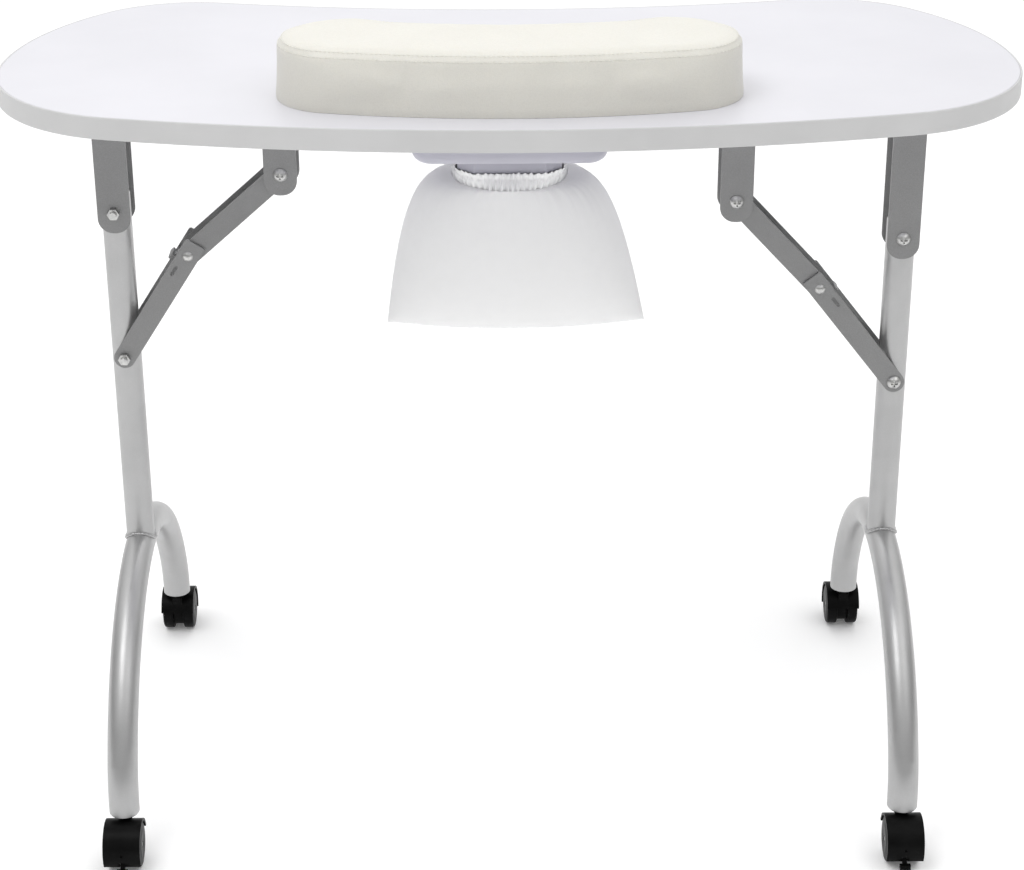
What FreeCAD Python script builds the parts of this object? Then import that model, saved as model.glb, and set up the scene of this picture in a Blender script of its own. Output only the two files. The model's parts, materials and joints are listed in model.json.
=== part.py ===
import FreeCAD, Part
import math
import os
import re

from FreeCAD import Placement, Rotation, Vector

# Folding manicure table with a dust fan. Millimetres, +Z up, +X to the client's right.
# The origin is on the floor, midway between the two legs.

SIZES = [
    # table top
    ("half_length", 460), ("front_reach", 180), ("widest_at", 6), ("corner_radius", 150),
    ("lobe_side", 305), ("lobe_reach", 224), ("lobe_radius", 115), ("back_hollow", 32),
    ("underside", 680), ("board_thickness", 20), ("band_thickness", 2),
    # vent grille
    ("fan_centre", 34), ("vent_length", 132), ("vent_width", 88), ("vent_corner", 8),
    ("grille_flange", 5), ("grille_lift", 2), ("grille_skirt", 14), ("slot_width", 5),
    ("slot_pitch", 9), ("slot_count", 13), ("slot_reach", 37),
    # fan housing and outlet
    ("housing_length", 177), ("housing_width", 150), ("housing_depth", 60), ("housing_corner", 20),
    ("housing_wall", 2.5), ("housing_edge", 10), ("boss_radius", 6), ("boss_side", 74),
    ("boss_reach", 61), ("boss_screw_seat", 8), ("outlet_radius", 44), ("collar_half", 48),
    ("collar_facet", 33), ("collar_depth", 16), ("collar_wall", 2.5), ("spigot_rise", 5),
    # fan
    ("spider_outer", 56), ("spider_inner", 47), ("spider_height", 5.5), ("spider_sheet", 2.5),
    ("spider_arm", 8), ("spider_screw", 1.2), ("motor_radius", 19), ("motor_height", 26), ("shaft_radius", 2),
    ("running_gap", 0.04), ("shaft_seat", 6), ("shaft_length", 37), ("rotor_gap", 2.5),
    ("rotor_height", 16), ("rotor_hub", 20), ("rotor_radius", 43), ("blade_count", 7),
    ("blade_sheet", 1.6), ("blade_pitch", 34),
    # inlet and switch
    ("fitting_side", 45), ("fitting_height", 650), ("fitting_length", 26), ("fitting_width", 20),
    ("fitting_flange", 3), ("fitting_lip", 1.5), ("fitting_depth", 18), ("socket_length", 17.6),
    ("socket_width", 10), ("socket_depth", 14), ("socket_pin_radius", 1.2), ("socket_pin_side", 4.5),
    ("rocker_half_length", 7.8), ("rocker_width", 11.2), ("rocker_pin", 1.5), ("rocker_sink", 4),
    ("rocker_tilt", 8), ("window_length", 17.8), ("window_width", 11.8),
    # wrist cushion
    ("cushion_half_length", 203), ("cushion_front", -149), ("cushion_widest_at", -77),
    ("cushion_corner", 55), ("cushion_lobe_side", 138), ("cushion_back", -20),
    ("cushion_lobe_radius", 70), ("cushion_hollow", 20), ("cushion_height", 55),
    ("cushion_edge", 6), ("cushion_board", 4), ("cushion_inset", 3), ("rest_gap", 0.2),
    # dust bag
    ("bag_neck_top", 610), ("bag_neck_bottom", 589), ("bag_bottom", 433), ("bag_cloth", 3),
    ("bag_neck", 54), ("bag_half_width", 122), ("bag_seam", 8),
    ("bag_gap", 0.4), ("elastic_width", 5), ("elastic_thickness", 1),
    # folding legs
    ("leg_side", 362), ("high_pivot", 569), ("low_pivot", 539), ("tube_radius", 13.5),
    ("tube_wall", 1.5), ("post_head", 16), ("brace_run", 153.5), ("brace_rise", 35.7),
    ("low_brace_run", 154.8), ("low_brace_rise", 37.2),
    ("brace_drop", 144.6), ("upper_link", 118.5), ("lower_link", 120.5), ("bolt_radius", 3),
    ("pivot_gap", 0.05), ("ear_inside", 14.5), ("bracket_sheet", 2.5), ("ear_half_width", 15),
    ("ear_tail", 19.5), ("ear_corner", 14), ("flange_reach", 34), ("screw_side", 25),
    ("screw_reach", 9), ("link_half_width", 10), ("link_sheet", 2), ("upper_outside", 14),
    ("lower_inside", 14.5), ("web_sheet", 2), ("rivet_radius", 4), ("lock_pivot", 96),
    ("lock_pin", 2.5), ("lock_arm", 8), ("lock_tab", 18), ("lock_back", 5), ("lock_reach", 39),
    ("lock_nub", 10.5), ("lock_sheet", 5), ("lock_depth", 5), ("upper_web_start", 20),
    ("upper_web_end", 76), ("lower_web_start", 32), ("lower_web_end", 54), ("square_end", 14.5),
    ("square_corner", 2.5), ("lock_slot_near", 15.5), ("lock_slot_far", 23),
    ("lock_slot_offset", 4), ("lock_slot_half_width", 1.75), ("rivet_rim", 0.8), ("rivet_dome", 2.4),
    ("spring_radius", 4.2), ("spring_wire", 0.5), ("spring_pitch", 1.5), ("spring_length", 5.5),
    ("spring_seat", 11),
    # arched feet
    ("arch_height", 223), ("foot_end", 50), ("arch_half_span", 210), ("crown_angle", 66),
    ("bend_radius", 100), ("foot_radius", 14),
    # casters
    ("wheel_radius", 21), ("caster_trail", 13), ("caster_half_width", 17.2), ("wheel_inside", 5.5),
    ("axle_radius", 2.5), ("fork_half_width", 5), ("fork_radius", 17), ("fender_inner", 21.9),
    ("fender_outer", 24.2), ("hood_top", 48), ("boss_bottom", 41.6), ("caster_boss", 6.5),
    ("stem_radius", 4), ("stem_foot", 26), ("stem_top", 60), ("socket_top", 62), ("socket_lip", 1),
    ("socket_gap", 0.6),
    ("fender_rear", 15), ("fender_front", 205), ("hood_mark", 1.5), ("hood_mark_depth", 1.2),
    ("brake_pivot", 13), ("brake_pin", 1.5), ("brake_tongue", 2),
    # fasteners
    ("head_radius", 6.5), ("head_height", 4.5), ("nut_across", 10), ("nut_height", 5),
    ("bolt_overhang", 3), ("screw_radius", 1.9), ("screw_head_radius", 4), ("screw_head", 2.4),
    ("screw_length", 15), ("head_rim", 0.15), ("recess_arm", 0.5), ("recess_half_slot", 0.11),
    ("recess_depth", 0.55),
]

doc = FreeCAD.newDocument("manicure_table")
sheet = doc.addObject("Spreadsheet::Sheet", "Sizes")
pieces = {}


def fill_sheet():
    for row, (alias, value) in enumerate(SIZES, start=1):
        sheet.set("A%d" % row, alias)
        sheet.set("B%d" % row, str(value))
        sheet.setAlias("B%d" % row, alias)
    doc.recompute()


class SheetValues:
    """Reads a size from the sheet by its alias."""

    def __getattr__(self, alias):
        return float(sheet.get(alias))


fill_sheet()
size = SheetValues()
ALIASES = {alias for alias, _ in SIZES}


# ---------------------------------------------------------------- document helpers

def formula(text):
    """Turn a formula written with plain aliases into a FreeCAD expression."""
    return re.sub(r"[a-z_]+", lambda m: "Sizes." + m[0] if m[0] in ALIASES else m[0], str(text))


def bind(item, **properties):
    for name, text in properties.items():
        item.setExpression(name, formula(text))
    return item


def place(item, x=0, y=0, z=0, turn=0, about=Vector(0, 0, 1)):
    """Put an object at a bound position, turned by an angle in degrees."""
    item.Placement = Placement(Vector(), Rotation(about, turn))
    for axis, text in (("x", x), ("y", y), ("z", z)):
        item.setExpression("Placement.Base." + axis, formula(text))
    return item


def piece(label, item):
    """Name a finished sub-part; its label is also its file name."""
    item.Label = label
    pieces[label] = item
    return item


def add(kind, name, **properties):
    return bind(doc.addObject(kind, name), **properties)


def rod(name, radius, height, x=0, y=0, z=0, turn=0, about=Vector(0, 0, 1)):
    """A cylinder that starts at the given point; unturned it points up."""
    item = add("Part::Cylinder", name, Radius=radius, Height=height)
    return place(item, x, y, z, turn, about)


def cross_rod(name, radius, length, x=0, z=0):
    """A cylinder along Y, centred on Y = 0."""
    return rod(name, radius, length, x, "(%s) / 2" % length, z, 90, Vector(1, 0, 0))


def cut(name, base, *tools):
    result = doc.addObject("Part::Cut", name)
    result.Base = base
    result.Tool = tools[0] if len(tools) == 1 else fuse(name + "_tools", *tools)
    return result


def fuse(name, *parts):
    result = doc.addObject("Part::MultiFuse", name)
    result.Shapes = list(parts)
    return result


def group(name, parts):
    """Separate solids kept in one sub-part."""
    result = doc.addObject("Part::Compound", name)
    result.Links = list(parts)
    return result


def new_body(name):
    return doc.addObject("PartDesign::Body", name)


def sketch(owner, name, plane, loops, height=0):
    """A sketch on one of a body's origin planes, moved along the plane's normal."""
    origin_plane = next(item for item in owner.Origin.OriginFeatures if item.Role == plane)
    result = owner.newObject("Sketcher::SketchObject", name)
    result.AttachmentSupport = [(origin_plane, "")]
    result.MapMode = "FlatFace"
    result.setExpression("AttachmentOffset.Base.z", formula(height))
    for loop in loops:
        for curve in loop:
            result.addGeometry(curve, False)
    return result


def pad(owner, name, profile, length, both_ways=False, backwards=False):
    result = bind(owner.newObject("PartDesign::Pad", name), Length=length)
    result.Profile = profile
    result.SideType = "Symmetric" if both_ways else "One side"
    result.Reversed = backwards
    return result


def pocket(owner, name, profile, length, both_ways=False, backwards=False):
    """Cut a pocket and make sure that it takes material away."""
    doc.recompute()
    volume_before = owner.Shape.Volume
    result = bind(owner.newObject("PartDesign::Pocket", name), Length=length)
    result.Profile = profile
    result.SideType = "Symmetric" if both_ways else "One side"
    result.Reversed = backwards
    doc.recompute()
    if owner.Shape.Volume > volume_before - 0.01:
        raise RuntimeError("the pocket %s cuts nothing" % name)
    return result


def round_edges(owner, name, base, radius, wanted):
    """Fillet the edges of a feature whose bounding boxes pass a test."""
    doc.recompute()
    names = ["Edge%d" % index for index, edge in enumerate(base.Shape.Edges, start=1) if wanted(edge.BoundBox)]
    rounding = bind(owner.newObject("PartDesign::Fillet", name), Radius=radius)
    rounding.Base = (base, names)
    return rounding


def revolve(owner, name, profile, axis="V_Axis"):
    result = owner.newObject("PartDesign::Revolution", name)
    result.Profile = profile
    result.ReferenceAxis = (profile, [axis])
    result.Angle = 360
    return result


# ---------------------------------------------------------------- outlines

def line(start, end):
    return Part.LineSegment(Vector(*start), Vector(*end))


def arc(centre, radius, start_degrees, end_degrees):
    ring = Part.Circle(Vector(centre[0], centre[1], 0), Vector(0, 0, 1), radius)
    return Part.ArcOfCircle(ring, math.radians(start_degrees), math.radians(end_degrees))


def circle(x, y, radius):
    return [Part.Circle(Vector(x, y, 0), Vector(0, 0, 1), radius)]


def outline(*corners):
    """A closed loop through (x, y, radius) corners; each corner is rounded by its radius."""
    edges = []
    points = [Vector(x, y, 0) for x, y, _ in corners]
    ends = []
    for index, (x, y, radius) in enumerate(corners):
        here = points[index]
        to_last = (points[index - 1] - here).normalize()
        to_next = (points[(index + 1) % len(points)] - here).normalize()
        half_angle = to_last.getAngle(to_next) / 2
        reach = radius / math.tan(half_angle)
        start, end = here + to_last * reach, here + to_next * reach
        if radius:
            towards = (to_last + to_next).normalize()
            middle = here + towards * (radius / math.sin(half_angle) - radius)
            edges.append(Part.Arc(start, middle, end))
        ends.append((start, end))
    for index, (_, end) in enumerate(ends):
        edges.append(Part.LineSegment(end, ends[(index + 1) % len(ends)][0]))
    return edges


def rounded_box(x, y, length, width, radius):
    left, right = x - length / 2, x + length / 2
    low, high = y - width / 2, y + width / 2
    return outline((left, low, radius), (right, low, radius), (right, high, radius), (left, high, radius))


def octagon(half, facet):
    return outline((-facet, -half, 0), (facet, -half, 0), (half, -facet, 0), (half, facet, 0),
                   (facet, half, 0), (-facet, half, 0), (-half, facet, 0), (-half, -facet, 0))


def slot(start_x, end_x, y, radius):
    return [line((start_x, y - radius), (end_x, y - radius)), arc((end_x, y), radius, -90, 90),
            line((end_x, y + radius), (start_x, y + radius)), arc((start_x, y), radius, 90, 270)]


def kidney(half_length, widest_at, front, corner, lobe_side, lobe_reach, lobe, hollow, inset=0):
    """A kidney of tangent arcs: bowed front, round ends, two back lobes and a hollow between."""
    deep = widest_at - front
    front_half = 2 * math.atan((deep - corner) / (half_length - corner))
    front_radius = corner + (half_length - corner) / math.sin(front_half)
    rise = lobe_reach - widest_at
    run = half_length - lobe_side
    side_turn = 2 * math.atan((run - lobe) / (rise - lobe))
    side = lobe + (rise - lobe) / math.sin(side_turn)
    back_half = 2 * math.atan(hollow / lobe_side)
    back_radius = lobe_side / math.sin(back_half) - lobe
    front_half, side_turn, back_half = map(math.degrees, (front_half, side_turn, back_half))
    corner_x, side_x = half_length - corner, half_length - side
    lobe_y = lobe_reach - lobe
    return [
        arc((0, front + front_radius), front_radius - inset, 270 - front_half, 270 + front_half),
        arc((corner_x, widest_at), corner - inset, 270 + front_half, 360),
        arc((side_x, widest_at), side - inset, 0, side_turn),
        arc((lobe_side, lobe_y), lobe - inset, side_turn, 90 + back_half),
        arc((0, lobe_reach - hollow + back_radius), back_radius + inset, 270 - back_half, 270 + back_half),
        arc((-lobe_side, lobe_y), lobe - inset, 90 - back_half, 180 - side_turn),
        arc((-side_x, widest_at), side - inset, 180 - side_turn, 180),
        arc((-corner_x, widest_at), corner - inset, 180, 270 - front_half),
    ]


def table_outline(inset):
    return kidney(size.half_length, size.widest_at, -size.front_reach, size.corner_radius, size.lobe_side,
                  size.lobe_reach, size.lobe_radius, size.back_hollow, inset)


def cushion_outline(inset):
    return kidney(size.cushion_half_length, size.cushion_widest_at, size.cushion_front,
                  size.cushion_corner, size.cushion_lobe_side, size.cushion_back,
                  size.cushion_lobe_radius, size.cushion_hollow, inset)


# ---------------------------------------------------------------- fasteners

def domed_screw(name, head_radius, head_height, shank_radius, length):
    """A cross-head screw whose head sits under z = 0 and whose shank points up."""
    screw = new_body(name)
    # the dome is part of a ball centred on the screw's axis
    crown = head_height * (1 - size.head_rim)
    ball = (head_radius ** 2 + crown ** 2) / (2 * crown)
    beside = head_radius / 2
    dome = Part.Arc(Vector(0, -head_height, 0),
                    Vector(beside, ball - head_height - math.sqrt(ball ** 2 - beside ** 2), 0),
                    Vector(head_radius, crown - head_height, 0))
    profile = [dome, line((head_radius, crown - head_height), (head_radius, 0)),
               line((head_radius, 0), (shank_radius, 0)),
               line((shank_radius, 0), (shank_radius, length)),
               line((shank_radius, length), (0, length)), line((0, length), (0, -head_height))]
    revolve(screw, name + "_turned", sketch(screw, name + "_profile", "XZ_Plane", [profile]))
    arm, half_slot = head_radius * size.recess_arm, head_radius * size.recess_half_slot
    cross = outline((-half_slot, -arm, 0), (half_slot, -arm, 0), (half_slot, -half_slot, 0),
                    (arm, -half_slot, 0), (arm, half_slot, 0), (half_slot, half_slot, 0),
                    (half_slot, arm, 0), (-half_slot, arm, 0), (-half_slot, half_slot, 0),
                    (-arm, half_slot, 0), (-arm, -half_slot, 0), (-half_slot, -half_slot, 0))
    recess = sketch(screw, name + "_cross", "XY_Plane", [cross], -head_height)
    pocket(screw, name + "_recess", recess, head_height * size.recess_depth, backwards=True)
    return screw


def pivot_bolt(name):
    shank = 2 * (size.ear_inside + size.bracket_sheet) + size.nut_height + size.bolt_overhang
    return domed_screw(name, size.head_radius, size.head_height, size.bolt_radius, shank)


def wood_screw(name):
    return domed_screw(name, size.screw_head_radius, size.screw_head, size.screw_radius, size.screw_length)


def hex_nut(name, hole_radius):
    nut = new_body(name)
    corner = size.nut_across / math.sqrt(3)
    points = [(corner * math.cos(math.radians(60 * k)), corner * math.sin(math.radians(60 * k)), 0)
              for k in range(6)]
    face = sketch(nut, name + "_face", "XY_Plane", [outline(*points), circle(0, 0, hole_radius)])
    pad(nut, name + "_pad", face, "nut_height", backwards=True)
    return nut


# ---------------------------------------------------------------- table top and fan

def make_board():
    vent = rounded_box(0, size.fan_centre, size.vent_length, size.vent_width, size.vent_corner)
    board = new_body("tabletop_board")
    face = sketch(board, "board_face", "XY_Plane", [table_outline(size.band_thickness), vent])
    pad(board, "board_pad", face, "board_thickness")
    piece("tabletop_board", place(board, z="underside"))

    band = new_body("edge_band")
    ring = [table_outline(0), table_outline(size.band_thickness)]
    pad(band, "band_pad", sketch(band, "band_face", "XY_Plane", ring), "board_thickness")
    piece("edge_band", place(band, z="underside"))


def make_grille():
    """A flanged louvre plate that drops into the board's opening."""
    grille = new_body("vent_grille")
    plate = [rounded_box(0, 0, size.vent_length + 2 * size.grille_flange,
                         size.vent_width + 2 * size.grille_flange, size.vent_corner)]
    first = -(size.slot_count - 1) / 2 * size.slot_pitch
    half_slot = size.slot_width / 2
    for index in range(int(size.slot_count)):
        x = first + index * size.slot_pitch
        plate.append(rounded_box(x, 0, size.slot_width, 2 * size.slot_reach, half_slot * 0.98))
    pad(grille, "grille_plate", sketch(grille, "grille_face", "XY_Plane", plate), "grille_lift")
    skirt = [rounded_box(0, 0, size.vent_length, size.vent_width, size.vent_corner),
             rounded_box(0, 0, size.vent_length - 4, size.vent_width - 4, size.vent_corner - 2)]
    pad(grille, "grille_skirt", sketch(grille, "skirt_face", "XY_Plane", skirt), "grille_skirt",
        backwards=True)
    piece("vent_grille", place(grille, y="fan_centre", z="underside + board_thickness"))


def boss_points():
    for x in (-size.boss_side, size.boss_side):
        for y in (-size.boss_reach, size.boss_reach):
            yield x, y


def make_housing():
    """An open-topped moulded box with four screw bosses, an outlet and two fitting holes."""
    housing = new_body("fan_housing")
    outside = rounded_box(0, 0, size.housing_length, size.housing_width, size.housing_corner)
    outer = sketch(housing, "housing_face", "XY_Plane", [outside])
    pad(housing, "housing_pad", outer, "housing_depth")
    wall = size.housing_wall
    inside = rounded_box(0, 0, size.housing_length - 2 * wall, size.housing_width - 2 * wall,
                         size.housing_corner - wall)
    inner = sketch(housing, "housing_inside", "XY_Plane", [inside], "housing_depth")
    shell = pocket(housing, "housing_shell", inner, "housing_depth - housing_wall")
    # the floor's inner edge is rounded first, so the outer rounding never breaks through the wall
    softened = round_edges(housing, "floor_rounding", shell, "housing_edge - housing_wall",
                           lambda bounds: abs(bounds.ZMin - wall) < 0.01 and abs(bounds.ZMax - wall) < 0.01)
    round_edges(housing, "housing_rounding", softened, "housing_edge", lambda bounds: bounds.ZMax < 0.01)
    bosses = [circle(x, y, size.boss_radius) for x, y in boss_points()]
    pad(housing, "housing_bosses", sketch(housing, "boss_faces", "XY_Plane", bosses, "housing_wall / 2"),
        "housing_depth - housing_wall / 2")
    seats = [circle(x, y, size.screw_head_radius + 0.4) for x, y in boss_points()]
    pocket(housing, "boss_seats", sketch(housing, "seat_faces", "XY_Plane", seats),
           "housing_depth - boss_screw_seat", backwards=True)
    holes = [circle(x, y, size.screw_radius + 0.2) for x, y in boss_points()]
    pocket(housing, "boss_holes", sketch(housing, "hole_faces", "XY_Plane", holes, "housing_depth"),
           "boss_screw_seat + 1")
    outlet = sketch(housing, "outlet_face", "XY_Plane", [circle(0, 0, size.outlet_radius)])
    pocket(housing, "outlet", outlet, "2 * housing_wall", backwards=True)
    centre = size.fitting_height - size.underside + size.housing_depth
    windows = [rounded_box(side * size.fitting_side, centre, size.fitting_length - 2 * size.fitting_flange,
                           size.fitting_width - 2 * size.fitting_flange, 0.8) for side in (-1, 1)]
    rear = sketch(housing, "window_faces", "XZ_Plane", windows, "-(housing_width / 2)")
    pocket(housing, "fitting_windows", rear, "2 * housing_wall", both_ways=True)
    piece("fan_housing", place(housing, y="fan_centre", z="underside - housing_depth"))


def make_collar():
    collar = new_body("fan_outlet_collar")
    bore = circle(0, 0, size.outlet_radius - size.collar_wall)
    skirt = sketch(collar, "collar_face", "XY_Plane", [octagon(size.collar_half, size.collar_facet), bore])
    pad(collar, "collar_pad", skirt, "collar_depth")
    spigot = sketch(collar, "spigot_face", "XY_Plane", [circle(0, 0, size.outlet_radius), bore], "collar_depth")
    pad(collar, "spigot_pad", spigot, "spigot_rise")
    piece("fan_outlet_collar", place(collar, y="fan_centre", z="underside - housing_depth - collar_depth"))


REAR_FACE = "fan_centre + housing_width / 2"
SPIDER_FLOOR = "underside - housing_depth + housing_wall"
MOTOR_FLOOR = SPIDER_FLOOR + " + spider_height"


def spider_screw_points():
    """Where the spider's three screws stand, measured from the fan's middle."""
    middle = (size.spider_outer + size.spider_inner) / 2
    for index in range(3):
        angle = math.radians(90 + 120 * index)
        yield middle * math.cos(angle), middle * math.sin(angle)


def make_spider():
    """A ring with three arms that carries the motor over the outlet."""
    holes = [rod("spider_hole", "spider_screw", "spider_height", x, y) for x, y in spider_screw_points()]
    ring = cut("spider_ring", rod("spider_disc", "spider_outer", "spider_height"),
               rod("spider_bore", "spider_inner", "spider_height"), *holes)
    lift = "spider_height - spider_sheet"
    parts = [ring, rod("spider_plate", "motor_radius", "spider_sheet", z=lift)]
    for index in range(3):
        angle = 30 + 120 * index
        arm = add("Part::Box", "spider_arm", Length="spider_inner + 2", Width="spider_arm",
                  Height="spider_sheet")
        parts.append(place(arm, "spider_arm / 2 * sin(%d)" % angle, "-(spider_arm) / 2 * cos(%d)" % angle,
                           lift, angle))
    piece("motor_bracket", place(fuse("motor_bracket", *parts), y="fan_centre", z=SPIDER_FLOOR))


def make_motor():
    can = rod("motor_can", "motor_radius", "motor_height")
    bearing = rod("motor_bearing", "shaft_radius + running_gap", "motor_height", z="shaft_seat")
    piece("fan_motor", place(cut("fan_motor", can, bearing), y="fan_centre", z=MOTOR_FLOOR))
    shaft = rod("fan_shaft", "shaft_radius", "shaft_length")
    piece("fan_shaft", place(shaft, y="fan_centre", z=MOTOR_FLOOR + " + shaft_seat + 0.5"))


def make_rotor():
    """Slanted blades trimmed to a cylinder around the hub."""
    parts = [rod("rotor_core", "rotor_hub", "rotor_height")]
    root, chord = size.rotor_hub - 3, size.rotor_height + 4
    middle = Vector(0, 0, size.rotor_height / 2)
    corner = Vector(root, -chord / 2, -size.blade_sheet / 2)
    for index in range(int(size.blade_count)):
        lean = Rotation(Vector(0, 0, 1), 360 / size.blade_count * index)
        lean = lean * Rotation(Vector(1, 0, 0), size.blade_pitch)
        blade = add("Part::Box", "rotor_blade", Length="rotor_radius - rotor_hub + 5",
                    Width="rotor_height + 4", Height="blade_sheet")
        blade.Placement = Placement(middle + lean.multVec(corner), lean)
        parts.append(blade)
    bladed = cut("rotor_bladed", fuse("rotor_parts", *parts), rod("rotor_bore", "shaft_radius", "rotor_height"))
    rotor = doc.addObject("Part::Common", "fan_rotor")
    rotor.Base = bladed
    rotor.Tool = rod("rotor_limits", "rotor_radius", "rotor_height")
    piece("fan_rotor", place(rotor, y="fan_centre", z=MOTOR_FLOOR + " + motor_height + rotor_gap"))


def make_fan_screws():
    """Four screws hold the housing to the board; three hold the spider to its floor."""
    screws = []
    for x, y in boss_points():
        screw = wood_screw("housing_screw")
        screws.append(place(screw, x, "fan_centre + (%s)" % y, "underside - boss_screw_seat"))
    for x, y in spider_screw_points():
        screw = domed_screw("spider_screw", 3, 1.8, size.spider_screw, size.spider_height + 1.5)
        screws.append(place(screw, x, "fan_centre + (%s)" % y, SPIDER_FLOOR + " + spider_height", 180,
                            Vector(1, 0, 0)))
    piece("fan_screws", group("fan_screws", screws))


def rear_fitting(name):
    """A flanged block for the housing's rear wall; its mouth faces +Y."""
    fitting = new_body(name)
    flange = rounded_box(0, 0, size.fitting_length, size.fitting_width, 2)
    pad(fitting, name + "_flange", sketch(fitting, name + "_face", "XZ_Plane", [flange]), "fitting_lip",
        backwards=True)
    inside = rounded_box(0, 0, size.fitting_length - 2 * size.fitting_flange,
                         size.fitting_width - 2 * size.fitting_flange, 0.8)
    pad(fitting, name + "_block", sketch(fitting, name + "_inside", "XZ_Plane", [inside]), "fitting_depth")
    return fitting


def make_inlet():
    """The power socket: a two-pin inlet with a round-ended mouth."""
    inlet = rear_fitting("power_inlet")
    mouth = [rounded_box(0, 0, size.socket_length, size.socket_width, size.socket_width * 0.45)]
    pocket(inlet, "socket_pocket", sketch(inlet, "socket_face", "XZ_Plane", mouth, "-(fitting_lip)"),
           "socket_depth", backwards=True)
    pins = [circle(side * size.socket_pin_side, 0, size.socket_pin_radius) for side in (-1, 1)]
    pad(inlet, "socket_pins", sketch(inlet, "pin_faces", "XZ_Plane", pins, "socket_depth - fitting_lip"),
        "socket_depth - 2", backwards=True)
    piece("power_inlet", place(inlet, "-(fitting_side)", REAR_FACE, "fitting_height"))


def make_switch():
    """A rocker on a vertical pivot in its bezel, tilted to its off side."""
    bezel = rear_fitting("switch_bezel")
    window = [rounded_box(0, 0, size.window_length, size.window_width, 0.5)]
    pocket(bezel, "rocker_window", sketch(bezel, "window_face", "XZ_Plane", window, "-(fitting_lip)"),
           "fitting_depth - 4", backwards=True)
    seat = sketch(bezel, "pivot_seat", "XY_Plane", [circle(0, -size.rocker_sink, size.rocker_pin + 0.05)])
    pocket(bezel, "pivot_holes", seat, "window_width + 1", both_ways=True)
    piece("switch_bezel", place(bezel, "fitting_side", REAR_FACE, "fitting_height"))

    rocker = new_body("switch_rocker")
    half, sink = size.rocker_half_length, size.rocker_sink
    profile = outline((-half, -1, 0), (half, -1, 0), (half, sink + 2.2, 0.8), (0, sink + 1.2, 0),
                      (-half, sink + 2.2, 0.8))
    pad(rocker, "rocker_block", sketch(rocker, "rocker_profile", "XY_Plane", [profile]), "rocker_width",
        both_ways=True)
    pin = sketch(rocker, "rocker_pin_face", "XY_Plane", [circle(0, 0, size.rocker_pin)])
    pad(rocker, "rocker_pins", pin, "window_width + 0.8", both_ways=True)
    piece("switch_rocker", place(rocker, "fitting_side", REAR_FACE + " - rocker_sink", "fitting_height",
                                 -size.rocker_tilt))


# ---------------------------------------------------------------- soft parts

def make_cushion():
    """A loose padded arm rest: a soft block over a flat board set into its underside."""
    cushion = new_body("cushion_pad")
    face = sketch(cushion, "cushion_face", "XY_Plane", [cushion_outline(0)])
    block = pad(cushion, "cushion_block", face, "cushion_height")
    round_edges(cushion, "cushion_rounding", block, "cushion_edge",
                lambda bounds: bounds.ZMin > size.cushion_height - 0.01)
    board_face = [cushion_outline(size.cushion_inset)]
    pocket(cushion, "board_recess", sketch(cushion, "recess_face", "XY_Plane", board_face),
           "cushion_board", backwards=True)
    piece("cushion_pad", place(cushion, z="underside + board_thickness + rest_gap"))

    base = new_body("cushion_base")
    pad(base, "base_plate", sketch(base, "base_face", "XY_Plane", board_face), "cushion_board")
    piece("cushion_base", place(base, z="underside + board_thickness + rest_gap"))


def bag_bell(name, inset):
    """A loft that widens from the neck and flattens to the bottom seam."""
    sections = []
    for down in (0, 0.06, 0.2, 0.45, 0.75, 1):
        wide = "bag_neck + (bag_half_width - bag_neck) * %s^0.38 - %s" % (down, inset)
        deep = "bag_seam + (bag_neck - bag_seam) * sqrt(1 - %s^2) - %s" % (down, inset)
        ring = add("Part::Ellipse", name + "_ring", MajorRadius=wide, MinorRadius=deep)
        height = "bag_neck_bottom + (bag_bottom + %s - bag_neck_bottom) * %s" % (inset, down)
        sections.append(place(ring, y="fan_centre", z=height))
    bell = doc.addObject("Part::Loft", name)
    bell.Sections = sections
    bell.Solid = True
    return bell


def neck_ring(name, inside, thickness, height, z):
    """An eight-sided ring that fits around the outlet collar."""
    ring = new_body(name)
    growth = size.collar_facet / size.collar_half
    loops = [octagon(half, half * growth) for half in (inside + thickness, inside)]
    pad(ring, name + "_pad", sketch(ring, name + "_face", "XY_Plane", loops), height)
    return place(ring, y="fan_centre", z=z)


def make_dust_bag():
    inside = size.collar_half + size.bag_gap
    neck = neck_ring("bag_neck_ring", inside, size.bag_cloth, "bag_neck_top - bag_neck_bottom",
                     "bag_neck_bottom")
    elastic_inside = inside + (size.bag_cloth - size.elastic_thickness) / 2
    elastic = neck_ring("bag_elastic", elastic_inside, size.elastic_thickness, "elastic_width",
                        "bag_neck_top - elastic_width - 0.5")
    shell = cut("bag_shell", bag_bell("bag_outside", "0"), bag_bell("bag_inside", "bag_cloth"))
    bag = cut("dust_bag", fuse("bag_cloth", neck, shell), elastic)
    piece("dust_bag", bag)
    piece("bag_elastic", elastic)


# ---------------------------------------------------------------- folding legs

class Side:
    """One leg set. Its own X points inwards from the leg pivot; the right one is turned round."""

    def __init__(self, name, sign, pivot, run, rise):
        self.name = name
        self.sign = sign
        self.pivot = pivot
        self.height = getattr(size, pivot)
        self.run, self.rise = run, rise
        self.top = Vector(getattr(size, run), getattr(size, rise), 0)

    def put(self, item, x="0", z="0", swing=0):
        """Place an item from the pivot, swung about Y so that its own X points along the swing."""
        item = place(item, "%d * (%s - leg_side)" % (self.sign, x), 0, "%s + (%s)" % (self.pivot, z))
        turn = Rotation(Vector(0, 0, 1), 0 if self.sign > 0 else 180)
        item.Placement = Placement(item.Placement.Base, turn * Rotation(Vector(0, 1, 0), -swing))
        return item

    def fasten(self, item, x, z, facing, reach):
        """Lay a z-axis fastener along Y with its seat at the given reach; facing is -1 or 1."""
        return place(item, "%d * (%s - leg_side)" % (self.sign, x), "%d * (%s)" % (facing, reach),
                     "%s + (%s)" % (self.pivot, z), 90 * facing, Vector(1, 0, 0))


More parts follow.
